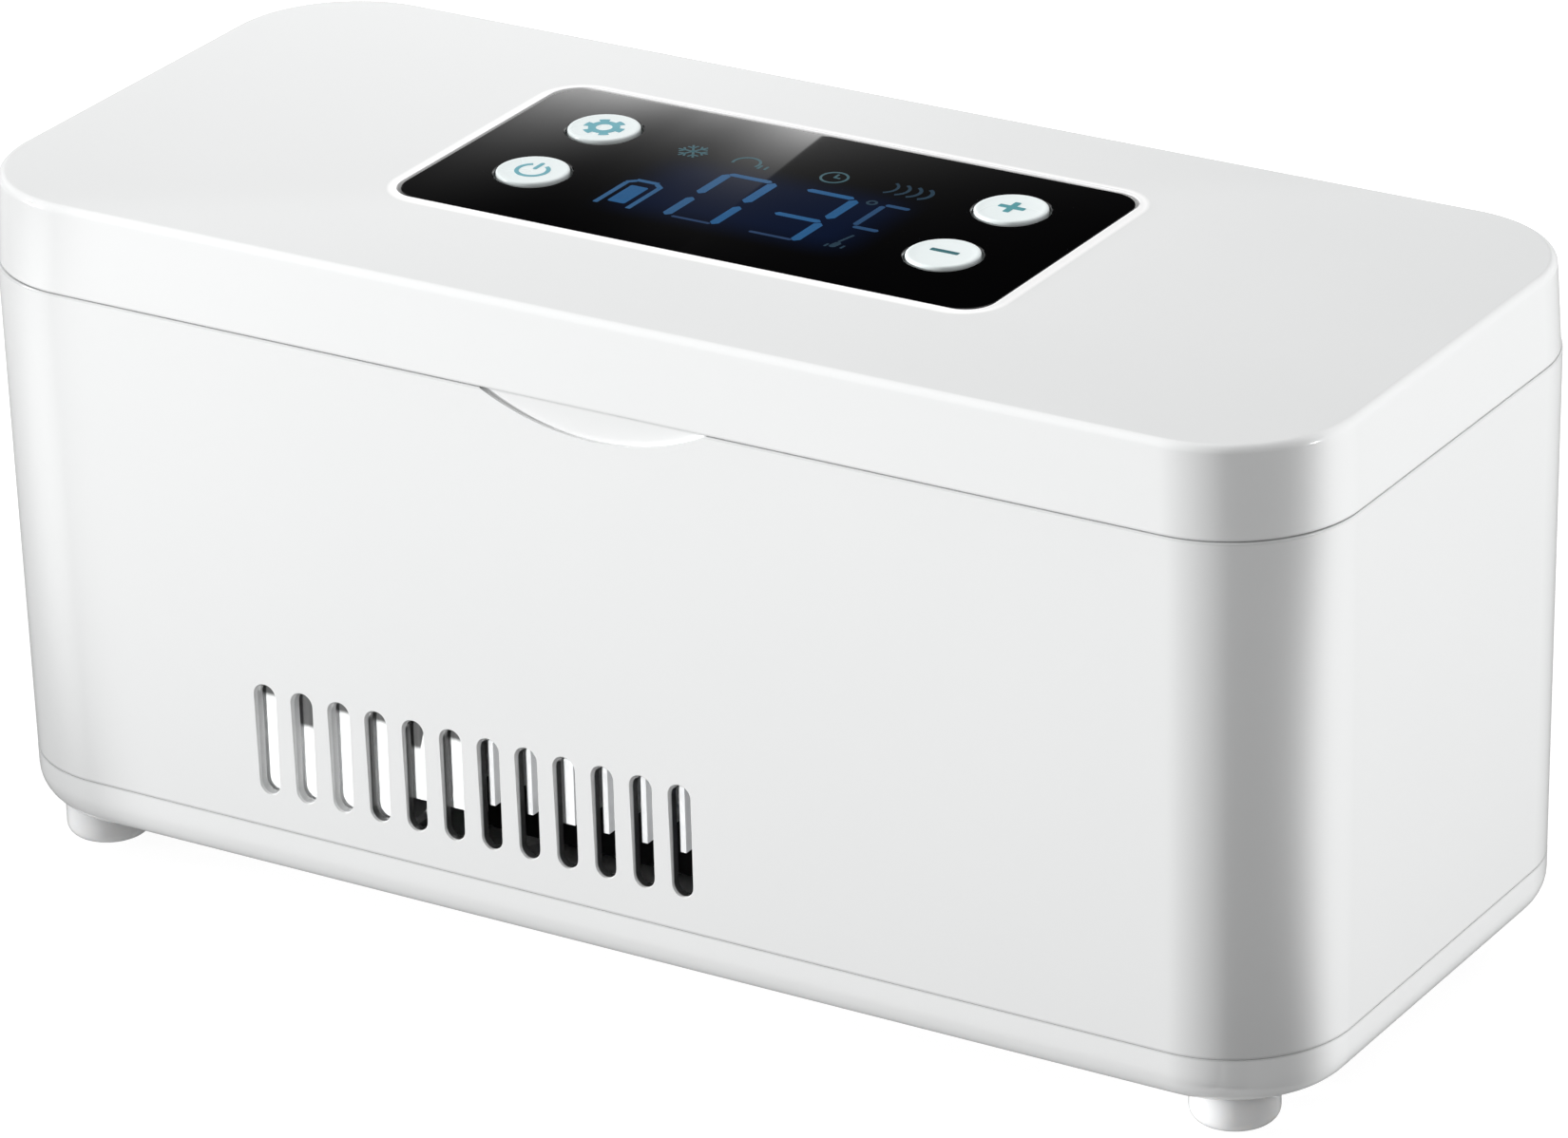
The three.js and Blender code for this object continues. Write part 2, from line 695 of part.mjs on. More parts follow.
// A pan-head screw with a cross slot, head down
function screw(headRadius, headHeight, length, headBottom, x, y) {
  const head = cylinder(headRadius, headBottom, headBottom + headHeight, x, y);
  const shank = cylinder(screwShankRadius, headBottom, headBottom + length, x, y, shankSteps);
  const slotLength = 2 * (headRadius - screwSlotMargin);
  const slots = [[slotLength, screwSlotWidth], [screwSlotWidth, slotLength]].map(([along, across]) =>
    box(along, across, headBottom - overrun, headBottom + screwSlotDepth, x, y));
  return cutBy(head.add(shank), slots);
}
for (const [name, x, y] of corners) {
  piece(`base_screw_${name}`, screw(screwHeadRadius, screwHeadHeight, screwLength, trayBottom + screwHeadSink,
    x * postX, y * postY), steel);
}

// Chamber bezel: the rim round the mouth of the chamber, with cups for the magnets
function chamberBezel() {
  const edge = wall + fitGap;
  const rim = drafted(caseLength, caseDepth, planCornerRadius, [
    [bodyInset(bezelBottom) + edge, bezelBottom], [bodyInset(bezelBottom) + edge, bezelTop],
  ], innerSteps);
  const mouth = plate(roundedRectangle(chamberLength, chamberWidth, bezelMouthRadius),
    bezelBottom - overrun, bezelTop + overrun, innerSteps);
  const cups = [];
  const pockets = [];
  for (const [, x] of sides) {
    const y = -(insideY - magnetInset);
    cups.push(cylinder(magnetRadius + magnetCup, bezelBottom - magnetCup, bezelTop, x * magnetX, y));
    pockets.push(cylinder(magnetRadius + fitGap, bezelTop - magnetHeight - fitGap, bezelTop + overrun,
      x * magnetX, y, roundSteps));
  }
  return cutBy(rim.subtract(mouth).add(joined(cups)), pockets);
}
piece('chamber_bezel', chamberBezel(), whiteMatt);
for (const [name, x] of sides) {
  piece(`body_magnet_${name}`, cylinder(magnetRadius, bezelTop - magnetHeight, bezelTop,
    x * magnetX, -(insideY - magnetInset), roundSteps), steel);
}

// Chamber liner: a drawn aluminium tub with a flange under the bezel
function chamberLiner() {
  const floorArc = edgeArc(chamberFloorRadius);
  const inside = drafted(chamberLength, chamberWidth, chamberCornerRadius,
    [...floorArc.map(([inset, rise]) => [inset, chamberFloor + rise]), [0, linerTop + overrun]], innerSteps);
  const outside = drafted(chamberLength + 2 * linerWall, chamberWidth + 2 * linerWall,
    chamberCornerRadius + linerWall, [
      ...edgeArc(chamberFloorRadius + linerWall).map(([inset, rise]) => [inset, linerBottom + rise]),
      [0, linerTop],
    ], innerSteps);
  const reach = 2 * (linerWall + linerFlange);
  const flange = plate(roundedRectangle(chamberLength + reach, chamberWidth + reach,
    chamberCornerRadius + reach / 2), linerTop - linerWall, linerTop, innerSteps);
  return outside.add(flange).subtract(inside);
}
piece('chamber_liner', chamberLiner(), aluminium);

// Insulation: a foam block that fills the body round the liner, with a well for the cold block
function insulation() {
  const clear = wall + fitGap;
  const block = drafted(caseLength, caseDepth, planCornerRadius, [
    [bodyInset(foamBottom) + clear, foamBottom], [bodyInset(foamTop) + clear, foamTop],
  ], innerSteps);
  const grow = linerWall + fitGap;
  const tub = drafted(chamberLength + 2 * grow, chamberWidth + 2 * grow, chamberCornerRadius + grow, [
    ...edgeArc(chamberFloorRadius + grow).map(([inset, rise]) => [inset, chamberFloor - grow + rise]),
    [0, foamTop + overrun],
  ], innerSteps);
  const well = box(blockLength + 2 * fitGap, blockLength + 2 * fitGap, foamBottom - overrun, chamberFloor, coldX);
  const lugs = corners.map(([, x, y]) => box(lugLength + 2 * fitGap, lugReach + wall + 2 * fitGap,
    bezelBottom - 2 * fitGap - lugHeight, foamTop + overrun, x * bezelLugX, y * (insideY - lugReach / 2)));
  return cutBy(block, [tub, well, ...lugs]);
}
piece('insulation', insulation(), foamGrey);

// Cold block and thermoelectric module, with two screw holes in the block
const sinkScrewPlaces = sides.map(([name, x]) => [name, coldX + x * sinkScrewX]);
const sinkScrewHead = sinkUnder - sinkScrewHeadHeight - fitGap;
const sinkScrewTop = blockBottom + sinkScrewGrip;
piece('cold_block', cutBy(box(blockLength, blockLength, blockBottom, blockTop, coldX),
  sinkScrewPlaces.map(([, x]) => cylinder(screwShankRadius + fitGap, blockBottom - overrun,
    sinkScrewTop + fitGap, x))), aluminium);

function thermoelectricModule() {
  const side = 2 * (sinkScrewX - screwShankRadius - moduleScrewClearance);
  const core = box(side - modulePlate, side - modulePlate, moduleBottom, moduleTop, coldX);
  const faces = [moduleBottom, moduleTop - modulePlate].map((z) => box(side, side, z, z + modulePlate, coldX));
  return joined([core, ...faces]);
}
piece('thermoelectric_module', thermoelectricModule(), ceramic);

// Where the air baffle ends: just short of the fan, and behind the front wall
const baffleRight = fanX - fanSize / 2 - fitGap;
const baffleRear = -(insideY - bodyDraft - baffleSetback - baffleThickness);

// Heat sink: an extruded comb along Y. The fins beside the fan run down past it, and one fin near the
// middle is thick, to carry the weight of the cold block.
function heatSink() {
  const profile = new THREE.Shape();
  profile.moveTo(sinkRight, sinkTop);
  profile.lineTo(sinkLeft, sinkTop);
  profile.lineTo(sinkLeft, sinkUnder);
  for (let k = finCount - 1; k >= 0; k -= 1) {
    const x = lastFinX - k * finPitch;
    const half = (k === wideFin ? wideFinThickness : finThickness) / 2;
    const beside = x + finThickness < fanX - fanSize / 2;
    const tip = sinkUnder - (beside ? longFin : shortFin);
    profile.lineTo(x - half, sinkUnder);
    profile.lineTo(x - half, tip);
    profile.lineTo(x + half, tip);
    profile.lineTo(x + half, sinkUnder);
  }
  profile.lineTo(sinkRight, sinkUnder);
  profile.closePath();
  const geometry = new THREE.ExtrudeGeometry(profile, { depth: sinkDepth, bevelEnabled: false });
  geometry.rotateX(quarter);
  geometry.translate(0, sinkDepth / 2, 0);
  const holes = sinkScrewPlaces.flatMap(([, x]) => [
    cylinder(screwShankRadius + fitGap, sinkUnder - overrun, sinkTop + overrun, x),
    cylinder(sinkScrewHeadRadius + fitGap, sinkUnder - longFin - overrun, sinkUnder, x),
  ]);
  const baffleRoom = box(2 * (baffleWingRight + fitGap - sinkLeft), 2 * (sinkDepth / 2 + baffleRear + fitGap),
    sinkUnder - longFin - overrun, sinkUnder, sinkLeft, -sinkDepth / 2);
  return cutBy(solid(geometry), [...holes, baffleRoom]);
}
piece('heat_sink', heatSink(), aluminium);
for (const [name, x] of sinkScrewPlaces) {
  piece(`heat_sink_screw_${name}`, screw(sinkScrewHeadRadius, sinkScrewHeadHeight,
    sinkScrewTop - sinkScrewHead, sinkScrewHead, x, 0), steel);
}

// Air baffle: a bent strip behind the slots beside the fan, with a wing that passes over the fan
function airBaffle() {
  const length = baffleRight - sinkLeft;
  const middle = (baffleRight + sinkLeft) / 2;
  const bottom = trayTop + wall + fitGap;
  const upright = box(length, baffleThickness, bottom, sinkUnder - baffleTopDrop,
    middle, baffleRear - baffleThickness / 2);
  const flange = box(length, baffleFoot, bottom, bottom + baffleThickness,
    middle, baffleRear - baffleThickness + baffleFoot / 2);
  const wing = box(baffleWingRight - middle, baffleThickness, fanTop + fitGap, sinkUnder - baffleTopDrop,
    (baffleWingRight + middle) / 2, baffleRear - baffleThickness / 2);
  return joined([upright, wing, flange]);
}
piece('air_baffle', airBaffle(), whiteMatt);

// Fan frame: a square housing with a round bore, corner holes, and a hub plate on struts
function fanFrame() {
  const housing = plate(roundedRectangle(fanSize, fanSize, fanCornerRadius, fanX), fanBottom, fanTop,
    innerSteps);
  const bore = cylinder(fanBoreRadius, fanBottom - overrun, fanTop + overrun, fanX, 0, roundSteps);
  const hub = cylinder(hubRadius, fanBottom, fanBottom + hubPlate, fanX, 0, roundSteps);
  const struts = Array.from({ length: strutCount }, (_, k) => {
    const length = fanBoreRadius + overrun;
    const geometry = new THREE.BoxGeometry(length, strutWidth, hubPlate);
    geometry.translate(length / 2, 0, fanBottom + hubPlate / 2);
    geometry.rotateZ(quarter / 2 + k * 2 * Math.PI / strutCount);
    geometry.translate(fanX, 0, 0);
    return solid(geometry);
  });
  const holes = corners.map(([, x, y]) => cylinder(fanHoleRadius, fanBottom - overrun, fanTop + overrun,
    fanX + x * fanHoleSpacing / 2, y * fanHoleSpacing / 2));
  return cutBy(housing.subtract(bore).add(joined([hub, ...struts])), holes);
}
piece('fan_frame', fanFrame(), blackPlastic);

// Fan rotor: a domed hub with cambered, twisted blades
function fanRotor() {
  const bottom = fanBottom + hubPlate + fitGap;
  const dome = edgeArc(hubEdgeRadius).reverse().map(([inset, rise]) => [hubRadius - inset, bottom + hubHeight - rise]);
  const hub = turned([[0, bottom], [hubRadius, bottom], ...dome, [0, bottom + hubHeight]], fanX);
  const rootRadius = hubRadius - bladeRootSink;
  const tipRadius = fanBoreRadius - bladeTipGap;
  const bladeSteps = 2;
  const chordSteps = 3;
  const section = (pitch, reach) => {
    const line = Array.from({ length: chordSteps + 1 }, (_, k) => {
      const along = k / chordSteps - 1 / 2;
      return [along * bladeChord, bladeCamber * (1 - 4 * along ** 2)];
    });
    const outline = [
      ...line.map(([u, v]) => [u, v - bladeThickness / 2]),
      ...line.reverse().map(([u, v]) => [u, v + bladeThickness / 2]),
    ];
    return {
      height: reach,
      points: outline.map(([u, v]) => new THREE.Vector2(
        u * Math.cos(pitch) - v * Math.sin(pitch), u * Math.sin(pitch) + v * Math.cos(pitch))),
    };
  };
  const sections = Array.from({ length: bladeSteps + 1 }, (_, k) => section(
    THREE.MathUtils.lerp(bladeRootPitch, bladeTipPitch, k / bladeSteps),
    THREE.MathUtils.lerp(rootRadius, fanBoreRadius, k / bladeSteps)));
  const blade = loft(sections).rotate([0, 90, 0]).rotate([90, 0, 0]);
  const blades = Array.from({ length: bladeCount }, (_, k) =>
    blade.rotate([0, 0, 360 * k / bladeCount]).translate([fanX, 0, bottom + hubHeight / 2]));
  const sweep = cylinder(tipRadius, bottom + fitGap, bottom + hubHeight, fanX, 0, roundSteps);
  return joined(blades).intersect(sweep).add(hub);
}
piece('fan_rotor', fanRotor(), blackPlastic);

// Battery pack in its shrink wrap
piece('battery_pack', packShape(packWrap), wrapBlue);

// Main board with capacitors, coils and a chip
function mainBoard() {
  const middle = boardLeft + boardLength / 2;
  const board = box(boardLength, boardDepth, boardBottom, boardTop, middle);
  const parts = [];
  const capacitorX = middle - boardPartShare * boardLength;
  const coilX = middle + boardPartShare * boardLength - fitGap;
  for (const y of [-1, 0]) {
    const capacitorY = y * capacitorPitch - capacitorRadius;
    const coilY = y * inductorPitch - capacitorRadius;
    parts.push(cylinder(capacitorRadius, boardTop - boardThickness / 2, boardTop + capacitorHeight,
      capacitorX, capacitorY));
    parts.push(cylinder(inductorRadius, boardTop - boardThickness / 2, boardTop + inductorHeight, coilX, coilY)
      .subtract(cylinder(inductorBore, boardTop, boardTop + inductorHeight + overrun, coilX, coilY)));
  }
  parts.push(box(chipLength, chipLength, boardTop - boardThickness / 2, boardTop + chipHeight,
    middle, boardDepth / 4 - chipLength / 2));
  return joined([board, ...parts]);
}
piece('main_board', mainBoard(), boardGreen);

// Power socket: a block on the board whose round nose fills the hole in the rear wall
function powerSocket() {
  const bottom = boardTop + fitGap;
  const axisZ = bottom + socketBodyHeight / 2;
  const wallOuter = rearY - bodyInset(axisZ);
  const bodyRear = wallOuter - wall - fitGap;
  const block = box(socketBodyWidth, socketBodyDepth, bottom, bottom + socketBodyHeight,
    socketX, bodyRear - socketBodyDepth / 2);
  const alongY = (radius, front, rear, steps) => {
    const geometry = new THREE.CylinderGeometry(radius, radius, rear - front, steps);
    geometry.translate(socketX, (front + rear) / 2, axisZ);
    return solid(geometry);
  };
  const noseRear = wallOuter - socketSink;
  const nose = alongY(socketNoseRadius, bodyRear - overrun, noseRear, roundSteps);
  const bore = alongY(socketBoreRadius, noseRear - socketBoreDepth, noseRear + overrun, roundSteps);
  const pin = alongY(socketPinRadius, noseRear - socketBoreDepth - overrun, noseRear - socketPinSink, smallSteps);
  return block.add(nose).subtract(bore).add(pin);
}
piece('power_socket', powerSocket(), blackPlastic);

// Lid shell: a shallow drafted cap with the window pocket, posts and hinge knuckles
const buttonPlaces = [
  ['settings', -1, 1], ['power', -1, -1], ['plus', 1, 1], ['minus', 1, -1],
].map(([name, x, y]) => [name, buttonMiddleX + x * buttonPitchX / 2, buttonMiddleY + y * buttonPitchY / 2]);
const displayPosts = corners.map(([, x, y]) => [
  windowX + x * (windowLength / 2 + displayBoardMargin / 2), windowY + y * (windowDepth / 2 + displayBoardMargin / 2),
]);
const lidPosts = sides.map(([name, x]) => [name, x * lidPostX, lidPostY]);

function lidShell() {
  const topArc = edgeArc(lidEdgeRadius).reverse().map(([inset, rise]) =>
    [inset + lidInset(caseTop - rise), caseTop - rise]);
  const outside = drafted(caseLength, caseDepth, planCornerRadius, [[0, lidBottom], ...topArc]);
  const inside = drafted(caseLength, caseDepth, planCornerRadius, [
    [wall, lidBottom - overrun], [wall, lidBottom], [wall + lidInset(lidCeiling), lidCeiling],
  ], innerSteps);
  const pocket = plate(roundedRectangle(windowLength + 2 * fitGap, windowDepth + 2 * fitGap,
    windowCornerRadius + fitGap, windowX, windowY), pocketFloor, caseTop + overrun);
  const opening = plate(roundedRectangle(windowLength - 2 * windowLedge, windowDepth - 2 * windowLedge,
    windowCornerRadius - windowLedge, windowX, windowY), lidCeiling - overrun, caseTop);
  const posts = [];
  const holes = [];
  for (const [x, y] of displayPosts) {
    posts.push(cylinder(displayPostRadius, displayBoardTop + fitGap, lidCeiling + overrun, x, y));
    posts.push(cylinder(displayStakeRadius, displayBoardTop - displayStakeHeight, displayBoardTop + overrun, x, y));
  }
  for (const [, x, y] of lidPosts) {
    posts.push(cylinder(lidPostRadius, panelTop + fitGap, lidCeiling + overrun, x, y));
    holes.push(cylinder(screwShankRadius + fitGap, panelBottom, panelBottom + lidScrewLength + fitGap, x, y));
  }
  const shell = cutBy(outside.subtract(inside).add(joined(posts)),
    [pocket, opening, ...holes, ...bodyKnuckles.map(knuckleNotch)]);
  const knuckles = lidKnuckles.map((span) => knuckle(span, gussetHeight, lidInset(pinZ + gussetHeight)));
  return cutBy(shell.add(joined(knuckles)), [pinHole]);
}
piece('lid_shell', lidShell(), whiteGloss);

// Hinge pins
for (const [name, side] of sides) {
  const middle = side * hingeX;
  piece(`hinge_pin_${name}`, hingeRod(pinRadius, middle - hingeWidth / 2 + pinHead,
    middle + hingeWidth / 2 - pinHead, smallSteps), steel);
}

// Display window with round holes for the buttons
piece('display_window', cutBy(plate(roundedRectangle(windowLength, windowDepth, windowCornerRadius,
  windowX, windowY), windowBottom, caseTop),
buttonPlaces.map(([, x, y]) => cylinder(buttonRadius + buttonGap, windowBottom - overrun, caseTop + overrun,
  x, y, roundSteps))), blackGlass);

// Buttons: a cap with a rolled edge, a retaining flange under the window and a stem to the switch
function button(x, y) {
  const top = caseTop + buttonProud;
  const roll = edgeArc(buttonEdgeRadius, softSteps).reverse().map(([inset, rise]) => [buttonRadius - inset, top - rise]);
  return turned([
    [0, stemBottom], [buttonStemRadius, stemBottom], [buttonStemRadius, flangeBottom],
    [buttonRadius + buttonFlange, flangeBottom], [buttonRadius + buttonFlange, flangeTop],
    [buttonRadius, flangeTop], ...roll, [0, top],
  ], x, y);
}
for (const [name, x, y] of buttonPlaces) piece(`button_${name}`, button(x, y), buttonPlastic);

// Display module: a frame with the glass set in a little
function lcdModule() {
  const y = windowY + lcdShiftY;
  const frame = box(lcdLength, lcdDepth, lcdBottom, lcdTop, windowX, y);
  const glass = box(lcdLength - 2 * lcdFrame, lcdDepth - 2 * lcdFrame, lcdTop - lcdGlassDrop, lcdTop + overrun,
    windowX, y);
  return frame.subtract(glass);
}
piece('lcd_module', lcdModule(), lcdDark);

// Display board with a switch under each button
function displayBoard() {
  const board = box(windowLength + 2 * displayBoardMargin + 2 * displayStakeRadius,
    windowDepth + 2 * displayBoardMargin + 2 * displayStakeRadius,
    displayBoardBottom, displayBoardTop, windowX, windowY);
  const switches = buttonPlaces.map(([, x, y]) =>
    box(switchLength, switchLength, displayBoardTop - displayBoardThickness / 2, switchTop, x, y));
  const holes = displayPosts.map(([x, y]) => cylinder(displayStakeRadius + fitGap,
    displayBoardBottom - overrun, displayBoardTop + overrun, x, y));
  return cutBy(joined([board, ...switches]), holes);
}
piece('display_board', displayBoard(), boardGreen);

// Lid foam with a pocket for the display board and holes for the posts
function lidFoam() {
  const bottom = panelTop + fitGap;
  const top = lidCeiling - foamTopGap;
  const edge = wall + lidDraft + fitGap;
  const slab = drafted(caseLength, caseDepth, planCornerRadius, [[edge, bottom], [edge, top]], innerSteps);
  const margin = 2 * (displayBoardMargin + displayStakeRadius + foamPocketMargin);
  const pocket = box(windowLength + margin, windowDepth + margin, displayBoardBottom - foamTopGap, top + overrun,
    windowX, windowY);
  const stakes = displayPosts.map(([x, y]) => cylinder(displayStakeRadius + foamTopGap,
    displayBoardTop - displayStakeHeight - fitGap, displayBoardBottom, x, y));
  const holes = lidPosts.map(([, x, y]) => cylinder(lidPostRadius + fitGap, bottom - overrun, top + overrun, x, y));
  return cutBy(slab, [pocket, ...stakes, ...holes]);
}
piece('lid_foam', lidFoam(), foamGrey);

// Inner panel of the lid with the gasket groove, screw holes and magnet cups
const gasketMiddle = (inset) => [
  chamberLength + 2 * (gasketMargin + inset), chamberWidth + 2 * (gasketMargin + inset),
  bezelMouthRadius + gasketMargin + inset,
];
function gasketRing(inset, outset, bottom, top) {
  const outer = plate(roundedRectangle(...gasketMiddle(gasketWidth + outset)), bottom, top, innerSteps);
  const inner = plate(roundedRectangle(...gasketMiddle(inset)), bottom - overrun, top + overrun, innerSteps);
  return outer.subtract(inner);
}
function lidPanel() {
  const edge = wall + fitGap;
  const sheet = drafted(caseLength, caseDepth, planCornerRadius, [
    [edge, panelBottom], [edge + lidInset(panelTop), panelTop],
  ], innerSteps);
  const groove = gasketRing(-fitGap, fitGap, panelBottom - overrun, panelBottom + gasketGroove);
  const holes = lidPosts.flatMap(([, x, y]) => [
    cylinder(screwShankRadius + fitGap, panelBottom - overrun, panelTop + overrun, x, y),
    cylinder(lidScrewHeadRadius + fitGap, panelBottom - overrun, panelBottom + lidScrewHeadHeight + fitGap, x, y),
  ]);
  const pockets = sides.map(([, x]) => cylinder(magnetRadius + fitGap, panelBottom + magnetCover,
    panelTop + overrun, x * magnetX, -(insideY - magnetInset), roundSteps));
  return cutBy(sheet, [groove, ...holes, ...pockets]);
}
piece('lid_panel', lidPanel(), whiteMatt);
for (const [name, x] of sides) {
  piece(`lid_magnet_${name}`, cylinder(magnetRadius, panelBottom + magnetCover + fitGap,
    panelTop, x * magnetX, -(insideY - magnetInset), roundSteps), steel);
}
for (const [name, x, y] of lidPosts) {
  piece(`lid_screw_${name}`, screw(lidScrewHeadRadius, lidScrewHeadHeight, lidScrewLength, panelBottom, x, y), steel);
}

// Lid gasket: a soft ring that presses on the bezel round the mouth
function lidGasket() {
  const bottom = bezelTop + gasketLift;
  const foot = gasketRing(gasketEdge, -gasketEdge, bottom, bottom + gasketEdge);
  return gasketRing(0, 0, bottom + gasketEdge / 2, panelBottom + gasketGroove - fitGap).add(foot);
}
piece('lid_gasket', lidGasket(), rubber);

export default group;
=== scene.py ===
# %% [markdown]
# # An insulin cooling case
# A white bench-top box with a hinged lid over a cold chamber. Its solids come packed from CAD, and
# this file dresses them: smooth shells, a glass panel with a lit display, buttons, slots and
# finishes. Everything lies in the CAD's own place, with the front towards -Y. Blender works in
# metres here. The sizes below are in millimetres, and are multiplied by MM where they are used.

# %% The frame, as packed from CAD
import math

import bmesh
import bpy
from mathutils import Matrix, Vector


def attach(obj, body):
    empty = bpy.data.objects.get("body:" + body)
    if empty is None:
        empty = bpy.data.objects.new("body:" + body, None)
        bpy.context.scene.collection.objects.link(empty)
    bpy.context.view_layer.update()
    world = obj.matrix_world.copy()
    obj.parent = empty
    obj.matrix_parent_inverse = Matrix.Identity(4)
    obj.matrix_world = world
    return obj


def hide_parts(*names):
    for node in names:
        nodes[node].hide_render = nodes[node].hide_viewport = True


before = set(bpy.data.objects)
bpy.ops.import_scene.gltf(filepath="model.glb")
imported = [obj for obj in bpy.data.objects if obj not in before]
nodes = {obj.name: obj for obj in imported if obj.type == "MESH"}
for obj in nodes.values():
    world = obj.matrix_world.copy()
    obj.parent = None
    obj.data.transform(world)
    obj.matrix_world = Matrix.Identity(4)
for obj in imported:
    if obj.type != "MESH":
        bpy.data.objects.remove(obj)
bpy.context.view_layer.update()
scene = bpy.context.scene
scene.view_settings.view_transform = "Standard"

# %% [markdown]
# The hinges stand out at the rear, so the middle of the case lies a little in front of the middle of
# the frame. A small helper adds that shift, and the rest is written as if the case stood centred.

# %% Millimetres, and where the case stands
MM = 0.001
case_shift = -1.05
case_top = 97.4


def at(x, y, z):
    """A place in mm from the middle of the case's footprint, as metres in the frame."""
    return x * MM, (y + case_shift) * MM, z * MM


print("top of the lid, in the middle:", at(0, 0, case_top))

# %% [markdown]
# ## The camera
# A product photograph is taken from well back with a long lens, so that upright edges stay nearly
# parallel. A camera can be placed by eye or from measured angles. Here the angles are known, so the
# camera looks along them at one aiming point, with the photograph's slight roll.

# %% The camera
camera_azimuth = math.radians(31.9146)
camera_elevation = math.radians(24.0838)
camera_roll = math.radians(-1.5159)
camera_distance = 1148.396 * MM
camera_lens = 192.4
aim_right, aim_up = 1.466 * MM, 43.4186 * MM
aim_start = Vector(at(0, 0, -2.6))

towards = Vector((math.sin(camera_azimuth) * math.cos(camera_elevation),
                  -math.cos(camera_azimuth) * math.cos(camera_elevation),
                  math.sin(camera_elevation)))
level_right = (-towards).cross(Vector((0, 0, 1))).normalized()
level_up = level_right.cross(-towards)
rolled_right = level_right * math.cos(camera_roll) + level_up * math.sin(camera_roll)
rolled_up = level_up * math.cos(camera_roll) - level_right * math.sin(camera_roll)
camera_data = bpy.data.cameras.new("camera")
camera_data.sensor_width = 36
camera_data.lens = camera_lens
camera_data.clip_start, camera_data.clip_end = 0.01, 50
camera = bpy.data.objects.new("camera", camera_data)
scene.collection.objects.link(camera)
turn = Matrix((rolled_right, rolled_up, towards)).transposed()
eye = towards * camera_distance + level_right * aim_right + level_up * aim_up + aim_start
camera.matrix_world = Matrix.Translation(eye) @ turn.to_4x4()
scene.camera = camera
print("camera at", [round(c, 4) for c in eye])

# %% [markdown]
# ## Floor, backdrop and light
# The case stands on white paper that runs up behind it. The paper can be lit until it is white, or it
# can be white for the camera alone. The second way leaves the light on the object at a plain level,
# and the floor still darkens where the case stands, because part of its brightness is real light.
#
# A finish is a tree of small nodes. A few helpers keep the trees short: one makes any node, and the
# others make the sums and ramps that come up again and again.

# %% Helpers for node trees
def node(tree, kind, inputs=None, **settings):
    """A node with its settings. An input gets a value, or a link where a socket is given."""
    made = tree.nodes.new(kind)
    for key, value in settings.items():
        setattr(made, key, value)
    for key, value in (inputs or {}).items():
        socket = made.inputs[key]
        if isinstance(value, bpy.types.NodeSocket):
            tree.links.new(value, socket)
        else:
            socket.default_value = value
    return made


def calc(tree, operation, first, *others):
    """One operation on a single value, or on several in turn. Each is a number or a socket."""
    for other in others or (None,):
        inputs = {0: first} if other is None else {0: first, 1: other}
        first = node(tree, "ShaderNodeMath", inputs, operation=operation).outputs[0]
    return first


def add(tree, *values):
    return calc(tree, "ADD", *values)


def times(tree, *values):
    return calc(tree, "MULTIPLY", *values)


def ramp(tree, value, start, end, low=0.0, high=1.0, smooth=True):
    """Low before the start, high past the end, and a smooth or straight change in between."""
    return node(tree, "ShaderNodeMapRange", {0: value, 1: start, 2: end, 3: low, 4: high},
                interpolation_type="SMOOTHSTEP" if smooth else "LINEAR").outputs[0]


def seen_directly(tree):
    """1 for what the camera sees straight on or through something clear, 0 for all other light."""
    path = node(tree, "ShaderNodeLightPath")
    return calc(tree, "MAXIMUM", path.outputs["Is Camera Ray"], path.outputs["Is Transmission Ray"])


def mixed(tree, share, first, second):
    """Two shaders, the second by its share."""
    return node(tree, "ShaderNodeMixShader", {0: share, 1: first.outputs[0], 2: second.outputs[0]})


# %% Helpers for materials
def new_material(name):
    """An empty material, its tree, and the object coordinates that its patterns follow."""
    material = bpy.data.materials.new(name)
    material.use_nodes = True
    tree = material.node_tree
    tree.nodes.clear()
    return material, tree, node(tree, "ShaderNodeTexCoord").outputs["Object"]


def shown(tree, shader, kind="Material"):
    node(tree, "ShaderNodeOutput" + kind, {"Surface": shader.outputs[0]})


def surfaced(material, tree, inputs):
    """Finish a material with a Principled surface."""
    shown(tree, node(tree, "ShaderNodeBsdfPrincipled", inputs))
    return material


# %% The floor
floor_size, floor_drop = 12, 0.0002
grey_near, grey_far = 0.12, 0.4

bpy.ops.object.select_all(action="DESELECT")
bpy.ops.mesh.primitive_plane_add(size=floor_size, location=(0, 0, -floor_drop))
floor = bpy.context.active_object
floor.name = "floor"
paper, tree, coords = new_material("white_paper")
away = node(tree, "ShaderNodeVectorMath", {0: coords}, operation="LENGTH").outputs["Value"]
grey = ramp(tree, away, grey_near, grey_far, 0.16, 0.6, smooth=False)
matt = node(tree, "ShaderNodeBsdfDiffuse", {"Color": grey})
glow = node(tree, "ShaderNodeEmission", {"Color": (1, 1, 1, 1), "Strength": 0.93})
bright = node(tree, "ShaderNodeAddShader", {0: matt.outputs[0], 1: glow.outputs[0]})
shown(tree, mixed(tree, seen_directly(tree), matt, bright))
floor.data.materials.append(paper)
print("floor:", floor_size, "m wide,", paper.name)

# %% [markdown]
# The window in the lid is a flat mirror, so a direction in the room shows at one place in it. Dividing
# a direction by its rise gives that place, in metres across the lid. With it, the room can be dark
# velvet above the window and hold one pale card, whose straight edge shows across the glass.

